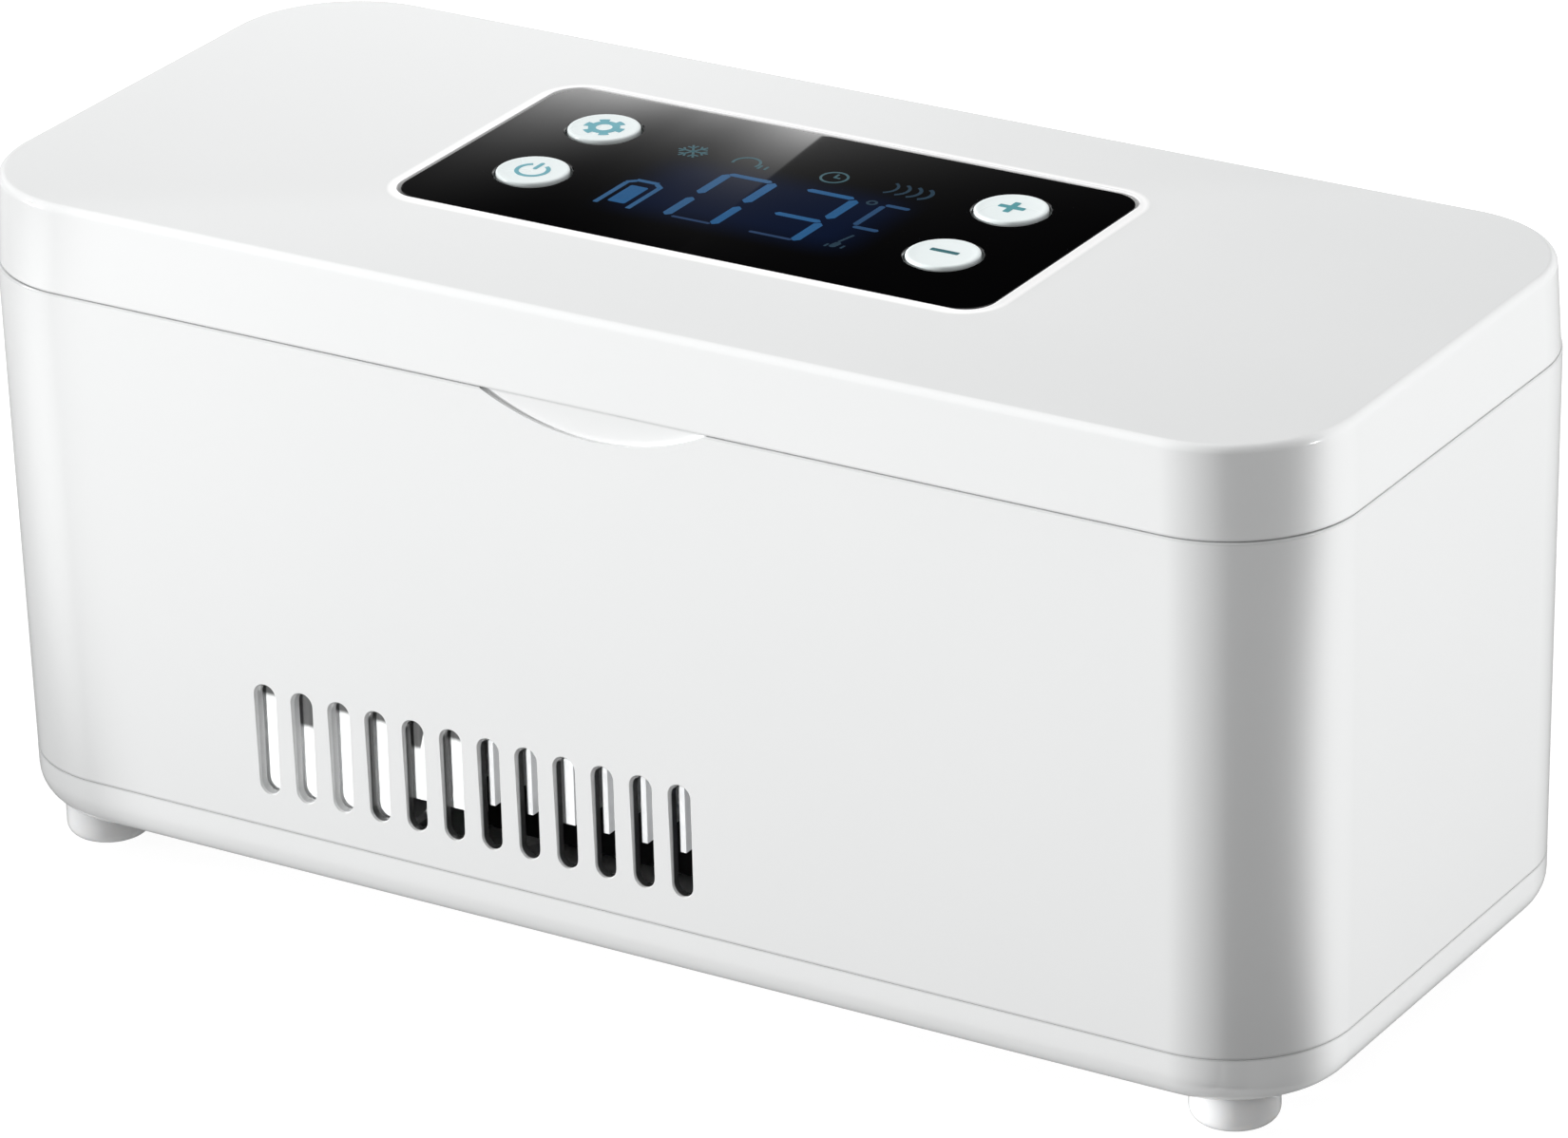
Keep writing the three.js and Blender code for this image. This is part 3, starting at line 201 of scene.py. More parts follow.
# %% The backdrop, as a mirror in the lid would show it
world = bpy.data.worlds.new("backdrop")
scene.world = world
world.use_nodes = True
tree = world.node_tree
tree.nodes.clear()
directions = node(tree, "ShaderNodeTexCoord").outputs["Generated"]
axes = node(tree, "ShaderNodeSeparateXYZ", {0: directions})
mirror_rise = eye.z - case_top * MM


def mirrored(axis, start):
    slope = calc(tree, "DIVIDE", axes.outputs[axis], axes.outputs["Z"])
    return node(tree, "ShaderNodeMath", {0: slope, 1: mirror_rise, 2: start},
                operation="MULTIPLY_ADD").outputs[0]


across = mirrored("X", eye.x)
along = mirrored("Y", eye.y - case_shift * MM)
far = add(tree, times(tree, across, across), times(tree, along, along))
print("mirror plane", round(mirror_rise, 4), "m below the camera")

# %% [markdown]
# Far is the square of the distance from the middle of the lid, in square metres, which saves a root.
# The card's glow falls off towards the front in a power curve, and so does what it spills past its
# edge, as light does on velvet.

# %% Dark velvet, a pale card and its spill
velvet = ramp(tree, far, 0.12, 0.38, 0.002, 0.42)
above_lid = ramp(tree, far, 0.12, 0.06)
slant = add(tree, across, times(tree, along, 0.109))
on_card = ramp(tree, slant, -3.6 * MM, -4.1 * MM)
lift = calc(tree, "MINIMUM", along, 27 * MM)
tone = add(tree, 0.026, ramp(tree, across, -26 * MM, -46 * MM, 0, 0.068),
           ramp(tree, across, -20 * MM, -7 * MM, 0, 0.02))
rise = ramp(tree, across, -44 * MM, -24 * MM, 88, 120, smooth=False)
card = times(tree, tone, calc(tree, "POWER", math.e, times(tree, lift, rise)))
fall = calc(tree, "SUBTRACT", times(tree, lift, 60), times(tree, across, 69))
spill = times(tree, 0.0198, calc(tree, "POWER", math.e, fall))
off_card = calc(tree, "SUBTRACT", 1, on_card)
glare = times(tree, above_lid,
              add(tree, times(tree, on_card, card), times(tree, off_card, spill)))
room_strength = 1.22
room = node(tree, "ShaderNodeBackground",
            {"Color": add(tree, velvet, glare), "Strength": room_strength})
white = node(tree, "ShaderNodeBackground", {"Color": (1, 1, 1, 1), "Strength": 1.0})
shown(tree, mixed(tree, seen_directly(tree), room, white), "World")
print("backdrop:", len(tree.nodes), "nodes")

# %% [markdown]
# A large soft panel overhead gives the even light. Softboxes and flagged spots from the two sides make
# the pale strip on the left corner and leave the near corner dark. A flagged spot has a cone with a
# hard edge, so its light ends in a line, as it does behind a flag on a stand.

# %% The lamps
def lamp(name, kind, power, **values):
    data = bpy.data.lights.new(name, kind)
    data.energy = power
    for key, value in values.items():
        setattr(data, key, value)
    made = bpy.data.objects.new(name, data)
    scene.collection.objects.link(made)
    return made


def sun(name, bearing, height, strength, spread):
    """A far softbox, in degrees: bearing from straight in front towards +X, height above level."""
    made = lamp(name, "SUN", strength, angle=math.radians(spread))
    b, h = math.radians(bearing), math.radians(height)
    direction = Vector((math.sin(b) * math.cos(h), -math.cos(b) * math.cos(h), math.sin(h)))
    made.matrix_world = direction.to_track_quat("Z", "Y").to_matrix().to_4x4()
    return made


def aimed(name, kind, power, place, aim, **values):
    """A lamp at one place that looks at another, both in metres."""
    made = lamp(name, kind, power, **values)
    place, aim = Vector(place), Vector(aim)
    look = (place - aim).to_track_quat("Z", "Y").to_matrix().to_4x4()
    made.matrix_world = Matrix.Translation(place) @ look
    return made


def spot(name, power, place, aim, cone, blend, size):
    """A spot with its full cone in degrees, the soft share of the cone, and its size in metres."""
    return aimed(name, "SPOT", power, place, aim, spot_size=math.radians(cone), spot_blend=blend,
                 shadow_soft_size=size)


sun("left_softbox", -60, 5, 1.25, 12)
spot("left_spot", 24, (-1.386, -0.8, 0.3), (0.06, -0.104, 0.17), 22, 1.0, 0.1)
spot("left_flagged_spot", 66, (-1.386, -0.8, 0.19), (0.113, -0.396, 0.06), 30.44, 0.0322, 0.004)
spot("right_spot", 49.5, (1.494, 0.131, 0.06), (0.5198, 0.3568, 0.06), 40, 0.022, 0.003)
panel = aimed("overhead_panel", "AREA", 4.1, (-0.3, 0.3, 0.5), (0, 0, 0.05), size=1.0)
panel.visible_glossy = False
print("lamps:", [light.name for light in bpy.data.lights])

# %% [markdown]
# ## Modelling helpers
# Moulded boxes like this one start as a flat sheet with rounded corners that is pulled up into a
# block. Each helper works as one would by hand: add a primitive, go into edit mode, select, and use
# an operator.

# %% Selecting
def start_fresh():
    """Leave edit mode and select nothing."""
    if bpy.context.mode != "OBJECT":
        bpy.ops.object.mode_set(mode="OBJECT")
    bpy.ops.object.select_all(action="DESELECT")


def alone(piece):
    """Leave edit mode and select this piece only."""
    start_fresh()
    piece.select_set(True)
    bpy.context.view_layer.objects.active = piece


def edit(piece, mode="FACE"):
    alone(piece)
    bpy.ops.object.mode_set(mode="EDIT")
    bpy.ops.mesh.select_mode(type=mode)


def everything():
    bpy.ops.mesh.select_all(action="SELECT")


def choose(piece, kind, test):
    """In edit mode, select the edges or faces that pass the test. It gets their middle in mm, and
    a face's normal or an edge's direction."""
    mesh = bmesh.from_edit_mesh(piece.data)
    for part in (mesh.verts, mesh.edges, mesh.faces):
        for item in part:
            item.select = False
    for item in getattr(mesh, kind):
        if kind == "edges":
            start, end = (vert.co for vert in item.verts)
            middle, direction = (start + end) / 2, (end - start).normalized()
        else:
            middle, direction = item.calc_center_median(), item.normal
        if test(middle / MM, direction):
            item.select_set(True)
    mesh.select_flush_mode()
    bmesh.update_edit_mesh(piece.data)


def higher(height):
    return lambda middle, direction: middle.z > height - 0.01


def lower(height):
    return lambda middle, direction: middle.z < height + 0.01


# %% Shaping in edit mode
def pull(x, y, z):
    """Extrude what is selected by this many mm."""
    bpy.ops.mesh.extrude_region_move(
        TRANSFORM_OT_translate={"value": (x * MM, y * MM, z * MM)})


def scaled(x, y, z, centre):
    bpy.ops.transform.resize(value=(x, y, z), center_override=centre)


def outwards():
    """Turn all faces outwards."""
    everything()
    bpy.ops.mesh.normals_make_consistent(inside=False)


def bevelled(kind, offset, steps, clamp=False):
    bpy.ops.mesh.bevel(offset=offset * MM, segments=steps, affect=kind, clamp_overlap=clamp)


def done(piece):
    """Back to object mode, with the place in the mesh and the object at the origin."""
    alone(piece)
    bpy.ops.object.transform_apply(location=True, rotation=True, scale=True)
    return piece


def merged(piece, gap):
    """Merge points that lie within a gap in mm, and turn all faces outwards."""
    edit(piece, "VERT")
    everything()
    bpy.ops.mesh.remove_doubles(threshold=gap * MM)
    outwards()
    return done(piece)


def edges_rounded(piece, *edges):
    """Bevel some edges of a piece. Each entry is a test, an offset in mm and a number of steps."""
    edit(piece, "EDGE")
    for test, offset, steps in edges:
        choose(piece, "edges", test)
        bevelled("EDGES", offset, steps)
    return done(piece)


# %% A flat plate, and a block pulled up from it
def plate(length, depth, corner, steps, location=(0, 0, 0), rotation=(0, 0, 0)):
    """A flat rectangle with rounded corners, left in edit mode with its face selected."""
    start_fresh()
    bpy.ops.mesh.primitive_plane_add(size=1, location=location, rotation=rotation)
    piece = bpy.context.active_object
    piece.scale = (length * MM, depth * MM, 1)
    bpy.ops.object.transform_apply(location=True, rotation=True, scale=True)
    edit(piece, "VERT")
    everything()
    if corner > 0.01:
        bevelled("VERTICES", corner, steps)
    bpy.ops.mesh.select_mode(type="FACE")
    everything()
    return piece


def block(length, depth, radius, levels, middle=(0, 0), steps=20):
    """Levels are (inset, height) in mm from the bottom up. The first is the plate pulled up."""
    first, bottom = levels[0]
    piece = plate(length - 2 * first, depth - 2 * first, radius - first, steps,
                  at(*middle, bottom))
    for (inset, height), (last_inset, last_height) in zip(levels[1:], levels):
        pull(0, 0, height - last_height)
        if inset != last_inset:
            scaled((length - 2 * inset) / (length - 2 * last_inset),
                   (depth - 2 * inset) / (depth - 2 * last_inset), 1, at(*middle, height))
    outwards()
    return done(piece)


# %% Round solids
def turned(profile, middle=(0, 0), steps=48):
    """Profile is a line of (radius, height) in mm, spun once round an upright axis."""
    start_fresh()
    mesh = bpy.data.meshes.new("turned")
    piece = bpy.data.objects.new("turned", mesh)
    scene.collection.objects.link(piece)
    centre = at(*middle, 0)
    x, y = centre[:2]
    mesh.from_pydata([(x + r * MM, y, h * MM) for r, h in profile],
                     [(k, k + 1) for k in range(len(profile) - 1)], [])
    edit(piece, "VERT")
    everything()
    bpy.ops.mesh.spin(steps=steps, angle=2 * math.pi, center=centre, axis=(0, 0, 1))
    return merged(piece, 0.002)


def arc(middle, radius, start, end, steps=6):
    """Points of a round edge in a profile, between two angles in degrees. 0 is outwards, 90 up."""
    angles = [math.radians(start + (end - start) * k / steps) for k in range(steps + 1)]
    return [(middle[0] + radius * math.cos(a), middle[1] + radius * math.sin(a)) for a in angles]


def rod(radius, start, end, middle, axis="Y", steps=64):
    """A cylinder between two places along an axis, at a middle in the other two, in mm."""
    start_fresh()
    halfway = (start + end) / 2
    place, rotation = {"X": (at(halfway, *middle), (0, math.pi / 2, 0)),
                       "Y": (at(middle[0], halfway, middle[1]), (math.pi / 2, 0, 0)),
                       "Z": (at(*middle, halfway), (0, 0, 0))}[axis]
    bpy.ops.mesh.primitive_cylinder_add(vertices=steps, radius=radius * MM,
                                        depth=(end - start) * MM, location=place,
                                        rotation=rotation)
    return done(bpy.context.active_object)


# %% Cutting, joining and copying
def boolean(piece, tool, operation="DIFFERENCE"):
    """Cut with or add another solid, which is used up."""
    modifier = piece.modifiers.new("boolean", "BOOLEAN")
    modifier.object = tool
    modifier.operation = operation
    modifier.solver = "EXACT"
    alone(piece)
    bpy.ops.object.modifier_apply(modifier=modifier.name)
    bpy.data.objects.remove(tool, do_unlink=True)
    return piece


def together(pieces):
    """Several pieces as one object."""
    start_fresh()
    for piece in pieces:
        piece.select_set(True)
    bpy.context.view_layer.objects.active = pieces[0]
    if len(pieces) > 1:
        bpy.ops.object.join()
    return pieces[0]


def copied(piece, x=0, mirror_y=False):
    """A copy with its own mesh, moved by mm, or mirrored front to rear about the case's middle."""
    twin = piece.copy()
    twin.data = piece.data.copy()
    scene.collection.objects.link(twin)
    if mirror_y:
        to_rear = Matrix.Translation((0, 2 * case_shift * MM, 0))
        twin.data.transform(to_rear @ Matrix.Scale(-1, 4, (0, 1, 0)))
        twin.data.flip_normals()
    twin.data.transform(Matrix.Translation((x * MM, 0, 0)))
    return twin


# %% Smooth shading that keeps flat faces flat, and the last step of every piece
def polish(piece, angle=35):
    alone(piece)
    bpy.ops.object.shade_smooth_by_angle(angle=math.radians(angle))
    modifier = piece.modifiers.new("weighted", "WEIGHTED_NORMAL")
    modifier.keep_sharp = True
    modifier.weight = 90
    bpy.ops.object.modifier_apply(modifier=modifier.name)
    return piece


def finished(piece, name, body, material, *replaced, slot=None):
    """Name a piece, give it a finish, let it ride on its body and stand for its CAD nodes."""
    done(piece)
    piece.name = piece.data.name = name
    piece.data.materials.clear()
    piece.data.materials.append(material)
    if replaced:
        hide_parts(*replaced)
    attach(piece, body)
    print(name, len(piece.data.polygons), "faces")
    return piece


# %% [markdown]
# ## White gloss plastic
# The shells are moulded in white ABS with a polished mould, so the surface is nearly a mirror with a
# very slight waviness, called orange peel. A plain white would look like paper. A low roughness with
# a faint bump from noise in object space gives the soft, slightly uneven reflections of real plastic.

# %% Patterns and moulded plastic
def blend(tree, share, low, high):
    """A colour between two others. Each is three numbers or a socket."""
    low, high = (c if isinstance(c, bpy.types.NodeSocket) else (*c, 1) for c in (low, high))
    return node(tree, "ShaderNodeMix", {0: share, 6: low, 7: high}, data_type="RGBA").outputs[2]


def noise(tree, coords, scale, detail):
    return node(tree, "ShaderNodeTexNoise",
                {"Vector": coords, "Scale": scale, "Detail": detail}).outputs[0]


def speckled(tree, coords, low, high, scale):
    """A colour that drifts a little between two tones."""
    return blend(tree, noise(tree, coords, scale, 3.0), low, high)


def bumped(tree, height, strength, distance):
    return node(tree, "ShaderNodeBump",
                {"Height": height, "Strength": strength, "Distance": distance}).outputs[0]


def grain(tree, coords, scale, strength, distance=0.00002):
    return bumped(tree, noise(tree, coords, scale, 2.0), strength, distance)


def moulded(name, low, high, roughness, tone_scale, bump_scale, bump, painted_shading=None):
    """A moulded plastic: its tone drifts, its gloss varies and its skin has a fine grain. Painted
    shading is a function from the tree, the coordinates and the tone to a new tone, painted with shade
    and highlights, and the strength of a painted glow."""
    material, tree, coords = new_material(name)
    patches = noise(tree, coords, tone_scale, 2.0)
    gloss = ramp(tree, patches, 0, 1, roughness * 0.8, roughness * 1.25, smooth=False)
    tone, painted_glow = speckled(tree, coords, low, high, tone_scale), 0.0
    if painted_shading:
        tone, painted_glow = painted_shading(tree, coords, tone)
    return surfaced(material, tree, {
        "Base Color": tone, "Roughness": gloss, "IOR": 1.5,
        "Normal": grain(tree, coords, bump_scale, bump),
        "Emission Color": (1, 1, 1, 1), "Emission Strength": painted_glow})


# %% Sizes of the case
case_length, case_depth, corner = 205, 88.4, 18.3
half_depth = case_depth / 2
wall = 2.6
body_bottom, body_top = 12.5, 84.6
lid_bottom = 85.0
lid_seam, tray_seam = 84.8, 12.35
seam = 0.15
slot_bottom, slot_height = 17.35, 16.15
slot_middle = slot_bottom + slot_height / 2
window_length, window_depth, window_corner = 91.2, 45.3, 5
window_x, window_y = -1.9, 3.85
window_thickness = 1.4


def body_inset(height):
    """The body's sides lean in by 1 mm for every 80 mm down, so that it leaves its mould."""
    return (body_top - height) / 80


print("case:", case_length, "by", case_depth, "by", case_top, "mm")

# %% [markdown]
# The finish also carries painted light and shade that the shape is too fine to give: painted shade
# along the seams and on the walls in the slots, and a painted highlight round the window. Each is a
# mask made from the place on the piece, so it stays where it is from every side.

# %% Painted shade along the seams
def between(tree, value, middle, half, soft, peak=1.0):
    """Peak within half of the middle, fading to nothing over the next soft mm."""
    gap = calc(tree, "ABSOLUTE", calc(tree, "SUBTRACT", value, middle * MM))
    return ramp(tree, gap, (half + soft) * MM, half * MM, 0.0, peak)


def seams(tree, coords, tone):
    """Painted shade: a little darker on both sides of a joint, as the narrow gap is in shade."""
    height = node(tree, "ShaderNodeSeparateXYZ", {0: coords}).outputs["Z"]
    for middle, half, soft, deep in ((lid_seam, 0.15, 0.35, 0.26), (tray_seam, 0.12, 0.28, 0.3)):
        tone = blend(tree, between(tree, height, middle, half, soft, deep), tone,
                     (0.35, 0.36, 0.36))
    return tone, 0.0


# %% Painted shade on the walls in the slots
# Painted shade in the slots: its colour, and the smaller share that the slots at the left end get.
slot_shade_colour = (0.06, 0.06, 0.06)
least_slot_shade = 0.4


def painted_slot_shade(tree, coords, tone):
    """Painted shade: the walls of the slots are painted dark, as they lie in shade inside the case.
    The mask is the place between the front and rear skins, over the length and height of the row."""
    axes = node(tree, "ShaderNodeSeparateXYZ", {0: coords})
    inside = between(tree, axes.outputs["Y"], case_shift, half_depth - 1.35, 0.3)
    right = between(tree, axes.outputs["X"], 0, 37.5, 2.5)
    right = calc(tree, "MAXIMUM", right, least_slot_shade)
    here = between(tree, axes.outputs["X"], -21, 40, 2)
    low = between(tree, axes.outputs["Z"], slot_middle, slot_height / 2 + 2, 1)
    return seams(tree, coords, blend(tree, times(tree, inside, right, here, low), tone, slot_shade_colour))


# %% A painted highlight round the window
halo_inner, halo_outer, halo_glow = 1.3, 1.9, 0.13


def painted_window_halo(tree, coords, tone):
    """Painted highlight: a band round the window is painted white and given a faint glow. Its distance
    from the window is that of a rounded rectangle: the part of the place outside an inner rectangle."""
    def step(operation, value, other=None):
        inputs = {0: value} if other is None else {0: value, 1: other}
        return node(tree, "ShaderNodeVectorMath", inputs, operation=operation)

    inner = ((window_length / 2 - window_corner) * MM, (window_depth / 2 - window_corner) * MM, 0)
    place = node(tree, "ShaderNodeMapping",
                 {0: coords, 1: (-window_x * MM, -(window_y + case_shift) * MM, 0), 3: (1, 1, 0)})
    place = step("ABSOLUTE", place.outputs[0])
    place = step("SUBTRACT", place.outputs[0], inner)
    place = step("MAXIMUM", place.outputs[0], (0, 0, 0))
    gap = step("LENGTH", place.outputs[0]).outputs["Value"]
    share = ramp(tree, gap, (window_corner + halo_outer) * MM,
                 (window_corner + halo_inner) * MM, smooth=False)
    tone = seams(tree, coords, blend(tree, share, tone, (1, 1, 1)))[0]
    return tone, times(tree, share, halo_glow)


# %% The finishes of the shells
white_tones = ((0.875, 0.885, 0.885), (0.91, 0.915, 0.915))
# Each shell carries painted shade along its seams, the body also in its slots, and the lid a painted
# highlight round the window.
body_white, lid_white, tray_white = (
    moulded(name, *white_tones, 0.16, 14, 900, 0.05, painted_shading=painted_shading)
    for name, painted_shading in (("body_gloss_plastic", painted_slot_shade), ("lid_gloss_plastic", painted_window_halo),
                        ("tray_gloss_plastic", seams)))
matt_white = moulded("white_matt_plastic", (0.78, 0.79, 0.785), (0.83, 0.84, 0.835), 0.5, 30, 3500,
                     0.35)
print("white plastics:", body_white.name, lid_white.name, tray_white.name, matt_white.name)

# %% [markdown]
# ## The body shell
# The body is a tall moulded sleeve with a slight draft so that it leaves its mould. It could be built
# as a flat sheet given thickness, but the slots, the recess and the hinge need solid walls to cut, so
# it is a block hollowed by a smaller block. The slots are cut with a tool that flares at the outside,
# which leaves the small rolled edge that catches the light round each slot.
#
# The CAD solids stand a little apart, as moulded parts with room between them. On the real thing the
# seams are closed until they are fine grey lines, so the smooth shells come closer together.

# %% The hollow sleeve
seam_low, seam_high = body_bottom - seam, body_top + seam
seam_edge, parting_edge = (0.2, 4), (0.06, 2)

body = block(case_length, case_depth, corner,
             [(body_inset(seam_low), seam_low), (0, seam_high)], steps=24)
edges_rounded(body, (higher(seam_high), *seam_edge), (lower(seam_low), *parting_edge))
core = block(case_length - 2 * wall, case_depth - 2 * wall, corner - wall,
             [(body_inset(height), height) for height in (body_bottom - 1, body_top + 1)],
             steps=24)
boolean(body, core)
print("sleeve:", len(body.data.polygons), "faces")

# %% [markdown]
# The walls are thinned from inside behind the slots, so that the slots look crisp and not like
# tunnels. One tool is shaped and copied for all the slots, front and rear.

# %% The air slots
slot_count, slot_pitch, slot_width = 12, 5.97, 3.07
first_slot = -53.9
slot_flare, slot_wall = 0.3, 1.6
slot_span = (slot_count - 1) * slot_pitch


def stadium(width, height, middle, levels, steps=12):
    """A tool with round ends that cuts along Y. Levels are (widening, depth) in mm, with the depth
    from 1 mm in front of the case."""
    x, z = middle
    front = -(half_depth + 1)
    grow = levels[0][0]
    piece = plate(width + 2 * grow, height + 2 * grow, (width / 2 + grow) * 0.999, steps,
                  at(x, front, z), (math.pi / 2, 0, 0))
    for (grow, depth), (last_grow, last_depth) in zip(levels[1:], levels):
        pull(0, depth - last_depth, 0)
        scaled((width + 2 * grow) / (width + 2 * last_grow), 1,
               (height + 2 * grow) / (height + 2 * last_grow), at(x, front + depth, z))
    outwards()
    return done(piece)


skin = 1 + body_inset(slot_middle)
flare = [(slot_flare, 0), (slot_flare, skin - 0.12), (slot_flare * 0.55, skin + 0.02),
         (slot_flare * 0.2, skin + 0.16), (0, skin + slot_flare + 0.1), (0, skin + wall + 2)]
first = stadium(slot_width, slot_height, (first_slot, slot_middle), flare)
slots = [first] + [copied(first, x=k * slot_pitch) for k in range(1, slot_count)]
room_high = slot_height / 2 + 1.5
thinned = block(slot_span + slot_width + 3, 2 * wall, 0,
                [(0, slot_middle - room_high), (0, slot_middle + room_high)],
                (first_slot + slot_span / 2,
                 -(half_depth - body_inset(slot_middle) - slot_wall - wall)))
boolean(body, copied(thinned, mirror_y=True))
boolean(body, thinned)
slots += [copied(tool, mirror_y=True) for tool in list(slots)]
boolean(body, together(slots))
print("with", 2 * slot_count, "slots:", len(body.data.polygons), "faces")

# %% [markdown]
# A shallow recess in the front edge lets a fingertip get under the lid. It is a wide arc, so the tool
# that cuts it is a large round disc standing on edge, sunk less than a millimetre into the front.

# %% The finger recess
recess_width, recess_drop, recess_depth, recess_x = 34, 4.1, 0.6, 0.6
recess_radius = (recess_drop ** 2 + (recess_width / 2) ** 2) / (2 * recess_drop)

boolean(body, rod(recess_radius, -half_depth - 1, -half_depth + recess_depth,
                  (recess_x, body_top - recess_drop + recess_radius), steps=360))
print("finger recess:", round(2 * recess_radius, 1), "mm across its circle")

# %% [markdown]
# The lid turns on two steel pins in the rear wall. Each hinge has one knuckle of the lid between two
# of the body. Both shells get room cut for the other's knuckles, and then their own are added.

# %% The hinge knuckles
hinge_x, hinge_width, lid_knuckle = 52, 30, 14
knuckle_radius, knuckle_gap, knuckle_space = 2.1, 0.35, 0.4
pin_height = lid_seam
lid_draft, lid_height = 0.5, 12.4
web_foot = 1.2

hinges = (-hinge_x, hinge_x)
near, edge = lid_knuckle / 2 + knuckle_space, hinge_width / 2
lid_spans = [(x - lid_knuckle / 2, x + lid_knuckle / 2) for x in hinges]
body_spans = [span for x in hinges for span in ((x - edge, x - near), (x + near, x + edge))]
print("hinge spans:", lid_spans, body_spans)


def knuckle(span, rise, steps=40):
    """A rod on the hinge axis with a web that runs into the wall, up for the lid and down for the
    body. The web's foot lies just inside the wall, which leans a little."""
    start_fresh()
    left, right = span
    mesh = bpy.data.meshes.new("web")
    web = bpy.data.objects.new("web", mesh)
    scene.collection.objects.link(web)
    inset = lid_draft * (0.2 + rise) / lid_height if rise > 0 else 0.08
    outline = [(knuckle_radius * 0.98, 0), (-inset, rise), (-web_foot, rise),
               (-web_foot, math.copysign(0.4, rise)), (0, 0)]
    mesh.from_pydata([at(left, half_depth + y, pin_height + z) for y, z in outline],
                     [], [tuple(range(len(outline)))])
    edit(web)
    everything()
    pull(right - left, 0, 0)
    outwards()
    done(web)
    barrel = rod(knuckle_radius, left, right, (half_depth, pin_height), "X", steps)
    edges_rounded(barrel, (lambda middle, direction: abs(direction.x) < 0.1, 0.25, 2))
    return boolean(barrel, web, "UNION")


def hinged(shell, own_spans, other_spans, rise):
    for left, right in other_spans:
        boolean(shell, rod(knuckle_radius + knuckle_gap, left - knuckle_space,
                           right + knuckle_space, (half_depth, pin_height), "X", 40))
    for span in own_spans:
        boolean(shell, knuckle(span, rise), "UNION")


# %% The body with its hinges and the hole for the power socket
socket_x, socket_height, socket_radius = -74, 19.4, 4.5

hinged(body, body_spans, lid_spans, -6)
boolean(body, rod(socket_radius, half_depth - 6, half_depth + 3, (socket_x, socket_height), "Y",
                  48))
polish(body)
finished(body, "body_shell_smooth", "case", body_white, "body_shell", slot="white_gloss")

# %% [markdown]
# ## The lid
# The lid is a shallow cap with the same outline. Its top edge has a small even radius, which draws
# the thin bright line along the top in the photograph. A bevel on the top edge loop gives that
# radius. A fine rim stands round the pocket that takes the window.

# %% The lid shell
lid_low = lid_bottom - seam
lid_roof = case_top - 2.6
rim_width, rim_rise = 1.1, 0.13
pocket_gap, pocket_floor = 0.18, case_top - 1.7
window_place = (window_x, window_y)

lid = block(case_length, case_depth, corner, [(0, lid_low), (lid_draft, case_top)], steps=24)
edges_rounded(lid, (higher(case_top), 1.05, 8), (lower(lid_low), *seam_edge))
hollow = block(case_length - 2 * wall, case_depth - 2 * wall, corner - wall,
               [(0, lid_bottom - 1), (lid_draft, lid_roof)], steps=24)
boolean(lid, hollow)
rim = block(window_length + 2 * rim_width, window_depth + 2 * rim_width,
            window_corner + rim_width,
            [(0, case_top - 0.5), (0.1, case_top), (0.5, case_top + 0.1),
             (0.8, case_top + rim_rise)], window_place, steps=16)
boolean(lid, rim, "UNION")
pocket = block(window_length + 2 * pocket_gap, window_depth + 2 * pocket_gap,
               window_corner + pocket_gap,
               [(0.9, pocket_floor - 0.05), (0, pocket_floor), (0, case_top + 1)],
               window_place, steps=16)
boolean(lid, pocket)
through = block(window_length - 4, window_depth - 4, window_corner - 2,
                [(0, lid_bottom + 5), (0, case_top)], window_place, steps=8)
boolean(lid, through)
hinged(lid, lid_spans, body_spans, 6)
polish(lid)
finished(lid, "lid_shell_smooth", "lid", lid_white, "lid_shell", slot="white_gloss")

# %% [markdown]
# ## The base tray
# The tray closes the body from below. Its lower edge is rounded, which lets the case float a little
# above its feet. The grille under the fan, the foot sockets and the screw wells are cut from below.

# %% The tray and its bosses
tray_bottom, tray_top, tray_inside = 4.6, 12.2, 7.1
tray_high = tray_top + 0.1
foot_x, foot_y, foot_radius = 88.7, 33.4, 6
screw_x, screw_y = 92.6, 18
fan_x, fan_post = -8.5, 20
corners = [(x, y) for x in (-1, 1) for y in (-1, 1)]

tray = block(case_length, case_depth, corner,
             [(body_inset(height), height) for height in (tray_bottom, tray_high)], steps=24)
edges_rounded(tray, (lower(tray_bottom), 5, 10), (higher(tray_high), *parting_edge))
lean = body_inset(tray_top)
lip = block(case_length - 2 * wall - 0.6, case_depth - 2 * wall - 0.6, corner - wall,
            [(lean, tray_top - 1), (lean, tray_top + wall)])
boolean(tray, lip, "UNION")
hollow = block(case_length - 4 * wall, case_depth - 4 * wall, corner - 2 * wall,
               [(2, tray_inside), (lean, tray_inside + 2), (lean, tray_top + 5)])
boolean(tray, hollow)
for x, y in corners:
    screw_boss = rod(4, tray_inside - 1, tray_top, (x * screw_x, y * screw_y), "Z", 32)
    boolean(tray, screw_boss, "UNION")
    fan_boss = rod(3.2, tray_inside - 1, tray_inside + 2.6,
                   (fan_x + x * fan_post, y * fan_post), "Z", 24)
    boolean(tray, fan_boss, "UNION")
print("tray:", len(tray.data.polygons), "faces")

# %% What is cut from below
well_radius, well_depth = 3, 3.1
socket_gap, socket_depth = 0.25, 1.2
grille_count, grille_pitch, grille_radius, grille_width = 7, 5.2, 20, 2.6

